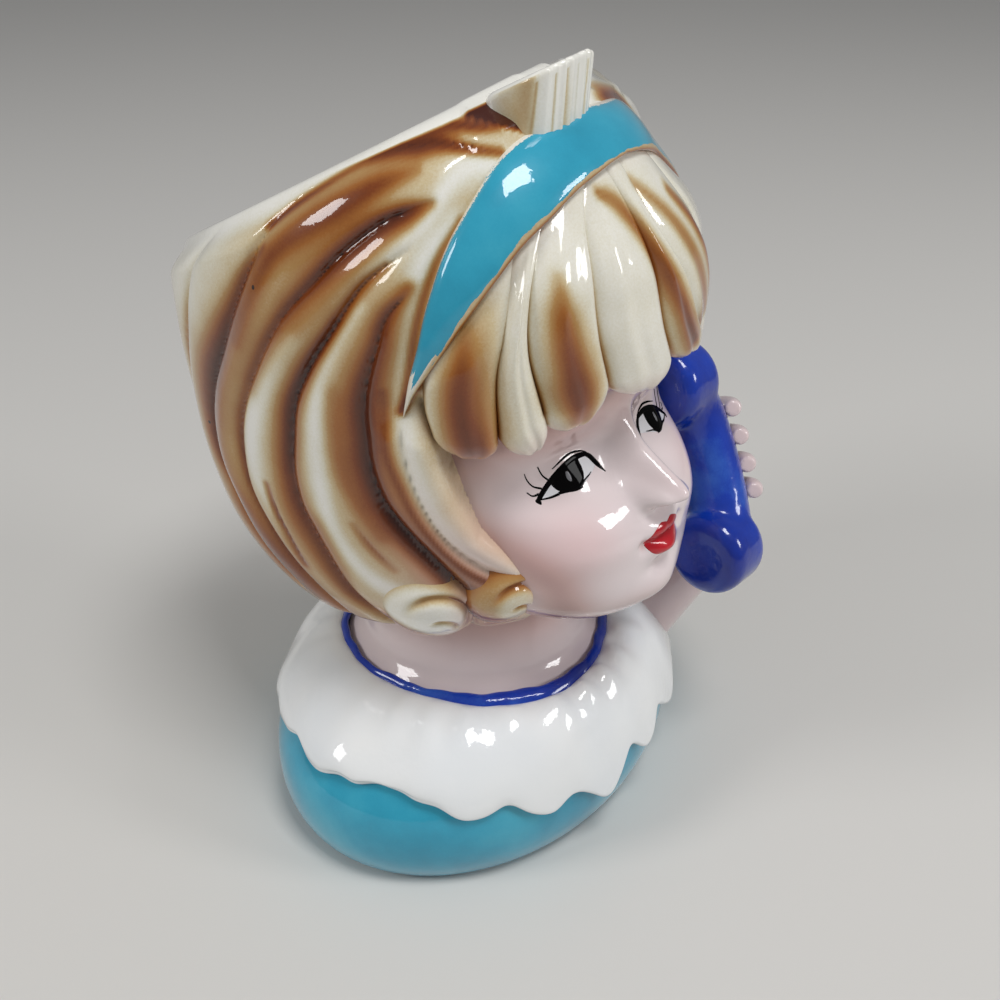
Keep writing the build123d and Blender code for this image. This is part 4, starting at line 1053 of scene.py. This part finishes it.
def ruffle():
    """White collar: pleated from the neckline, falling over the shoulders to a scalloped rolled edge."""
    turns = np.linspace(-180, 180, 541)
    edge = pairs_at(turns, ruffle_edge)
    edge = edge + 0.25 * np.sin(np.radians(turns) * 23) + 0.12 * np.sin(np.radians(turns) * 41 + 1)
    stations = (0, 0.3, 0.6, 1)
    crest = np.full(turns.shape, 27.7)
    outs = [pairs_at(turns, neckline_outer) - 1.2, bodice_reach(turns, bodice_height) + 0.2,
            bodice_reach(turns, crest) + 1.7, bodice_reach(turns, edge) + 2.5]
    ups = [np.full(turns.shape, 32.9), np.full(turns.shape, 33.9), crest + 2.3, edge]
    inset = (0, 0.2, 1.4, 2.1)
    drops = (1.8, 2.2, 1.8, 0.5)

    def station_mix(run, values):
        weights = [np.prod([(run - other) / (at - other) for other in stations if other != at]) for at in stations]
        return sum(weight * value for weight, value in zip(weights, values))

    def folds(run):
        angle = np.radians(turns)
        flutes = np.sin(angle * 26 + 1.2 * np.sin(angle * 5)) * (0.35 + 0.65 * swell(turns - 10, 60))
        waves = np.sin(angle * 11 + 0.6) + 0.5 * np.sin(angle * 17 + 2)
        return 0.5 * flutes * swell(run - 0.3, 0.28) * ease(run, 0.05, 0.2) + 0.45 * waves * ease(run, 0.25, 0.8)

    rows = []
    for run in np.linspace(0, 1, 70):
        out = station_mix(run, outs)
        rows += rings(turns, (out, out, station_mix(run, ups) + folds(run)))
    out, up = outs[3], ups[3] + folds(1.0)
    for step in np.linspace(0, pi, 10)[1:-1]:
        roll_out = out - inset[3] / 2 * (1 - np.cos(step)) + 0.35 * np.sin(step)
        roll_up = up - drops[3] / 2 * (1 - np.cos(step)) - 1.0 * np.sin(step)
        rows += rings(turns, (roll_out, roll_out, roll_up))
    for run in np.linspace(1, 0, 24):
        out = station_mix(run, outs) - station_mix(run, inset)
        rows += rings(turns, (out, out, station_mix(run, ups) + folds(run) - station_mix(run, drops)))
    rows.append(rows[0])
    return dress(swept("ruffle_glazed", rows), white_glaze, "white_glaze", "ruffle")


def neckline_band():
    """Uneven cobalt line brushed round the foot of the neck."""
    turns = np.linspace(-180, 180, 361)
    wobble = 0.18 * np.sin(np.radians(turns) * 13) + 0.12 * np.sin(np.radians(turns) * 29 + 1)
    inner, outer = pairs_at(turns, neckline_inner) + wobble, pairs_at(turns, neckline_outer) + wobble * 0.6
    rows = []
    for step in np.linspace(0, 2 * pi, 25):
        across = (outer - inner) / 2 * np.cos(step)
        out, rise = (inner + outer) / 2 + across, 34.0 - 0.5 * across + 0.9 * np.sin(step)
        rows += rings(turns, (out, out, rise))
    return dress(swept("neckline_painted", rows), cobalt_glaze, "cobalt_glaze", "neckline_band")


# Telephone, hand and arm


def melted_copy(name, nodes, voxel, passes):
    """Copies of CAD pieces run together and softened, as slip and glaze do."""
    for node in nodes:
        source = frame["nodes"][node]
        copy = source.copy()
        copy.data = source.data.copy()
        copy.parent = None
        for key in list(copy.keys()):
            if key.startswith("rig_"):
                del copy[key]
        bpy.context.scene.collection.objects.link(copy)
        copy.select_set(True)
        bpy.context.view_layer.objects.active = copy
    if len(nodes) > 1:
        bpy.ops.object.join()
    piece = bpy.context.view_layer.objects.active
    piece.name = piece.data.name = name
    bpy.ops.object.mode_set(mode="EDIT")
    bpy.ops.mesh.select_all(action="SELECT")
    bpy.ops.mesh.remove_doubles(threshold=0.01 * MM)
    bpy.ops.object.mode_set(mode="OBJECT")
    remesh = piece.modifiers.new("run together", "REMESH")
    remesh.mode, remesh.voxel_size = "VOXEL", voxel * MM
    bpy.ops.object.modifier_apply(modifier=remesh.name)
    soften = piece.modifiers.new("soften", "SMOOTH")
    soften.factor, soften.iterations = 0.5, passes
    bpy.ops.object.modifier_apply(modifier=soften.name)
    bpy.ops.object.shade_smooth()
    piece.select_set(False)
    return piece


def telephone():
    """Handset, its cups and grip run together under a thick glaze."""
    piece = melted_copy("handset_glazed", ["handset"], 0.5, 14)
    return dress(piece, cobalt_glaze, "cobalt_glaze", "handset")


def hand():
    """Palm, thumb, fingers and forearm run together, with an even painted shade and an even blush."""
    nodes = ["palm", "thumb", "forearm", "little_finger", "ring_finger", "middle_finger", "index_finger"]
    piece = melted_copy("hand_glazed", nodes, 0.4, 6)
    # An even painted shade over the whole hand, and a light blush
    for mark, value in (("shade", 0.12), ("blush", 0.1)):
        data = piece.data.attributes.new(mark, "FLOAT", "POINT").data
        data.foreach_set("value", np.full(len(data), value))
    return dress(piece, skin_glaze, "skin_glaze", *nodes)


hair_shell()
fringe()
for side, key in ((-1, "right"), (1, "left")):
    curl(f"curl_front_{key}", side, (38.5, 65.5), (7.8, 8.8), 5.6, (0.34, 0.5, 0.3), f"curl_{key}_front")
    curl(f"curl_back_{key}", side, (57, 61.5), (9.8, 11.2), 5.8, (0.04, 0.7, 0.42), f"curl_{key}_back")
crown_tuft()
headband()
face_mask()
eye(1, 0.0)
eye(-1, -1.4)
painted_patch("lip_upper", lip_top, 0.1, red_glaze)
painted_patch("lip_lower", lip_low, 0.1, red_glaze)
bodice()
neck()
ruffle()
neckline_band()
telephone()
hand()


# Studio


def studio_floor():
    """Plain pale floor."""
    bpy.ops.mesh.primitive_plane_add(size=6, location=(0, 0, 0))
    floor = bpy.context.object
    floor.name = "floor"
    material = bpy.data.materials.new("pale floor")
    material.use_nodes = True
    shader = material.node_tree.nodes["Principled BSDF"]
    shader.inputs["Base Color"].default_value = rgb(214, 212, 208)
    shader.inputs["Roughness"].default_value = 0.75
    floor.data.materials.append(material)


def soft_lamp(name, place, size, power):
    """A square softbox that looks at the middle of the pot; lengths in metres, power in watts."""
    middle = Vector((0, 0, 0.08))
    data = bpy.data.lights.new(name, "AREA")
    data.shape, data.size, data.energy = "SQUARE", size, power
    lamp = bpy.data.objects.new(name, data)
    bpy.context.scene.collection.objects.link(lamp)
    lamp.location = place
    lamp.rotation_euler = (middle - Vector(place)).to_track_quat("-Z", "Y").to_euler()


def camera():
    """The photo's viewpoint: 33 degrees down, from the girl's right front."""
    data = bpy.data.cameras.new("camera")
    data.lens, data.sensor_width, data.clip_start = 39.06, 36, 0.01
    viewer = bpy.data.objects.new("camera", data)
    bpy.context.scene.collection.objects.link(viewer)
    viewer.location = Vector((-140.7, -116.2, 181.5)) * MM
    viewer.rotation_euler = Vector((0.6609, 0.5163, -0.5446)).to_track_quat("-Z", "Y").to_euler()
    bpy.context.scene.camera = viewer


studio_floor()
soft_lamp("high window", (-0.1, -0.35, 0.95), 0.3, 4.2)
soft_lamp("low window", (0.35, -0.85, 0.5), 0.25, 2.4)
soft_lamp("back window", (-0.75, 0.45, 0.65), 0.3, 3.0)
camera()
world = bpy.data.worlds.new("studio")
bpy.context.scene.world = world
world.use_nodes = True
backdrop = world.node_tree.nodes["Background"]
backdrop.inputs["Color"].default_value = rgb(225, 226, 228)
backdrop.inputs["Strength"].default_value = 0.3
bpy.context.scene.view_settings.view_transform = "Standard"
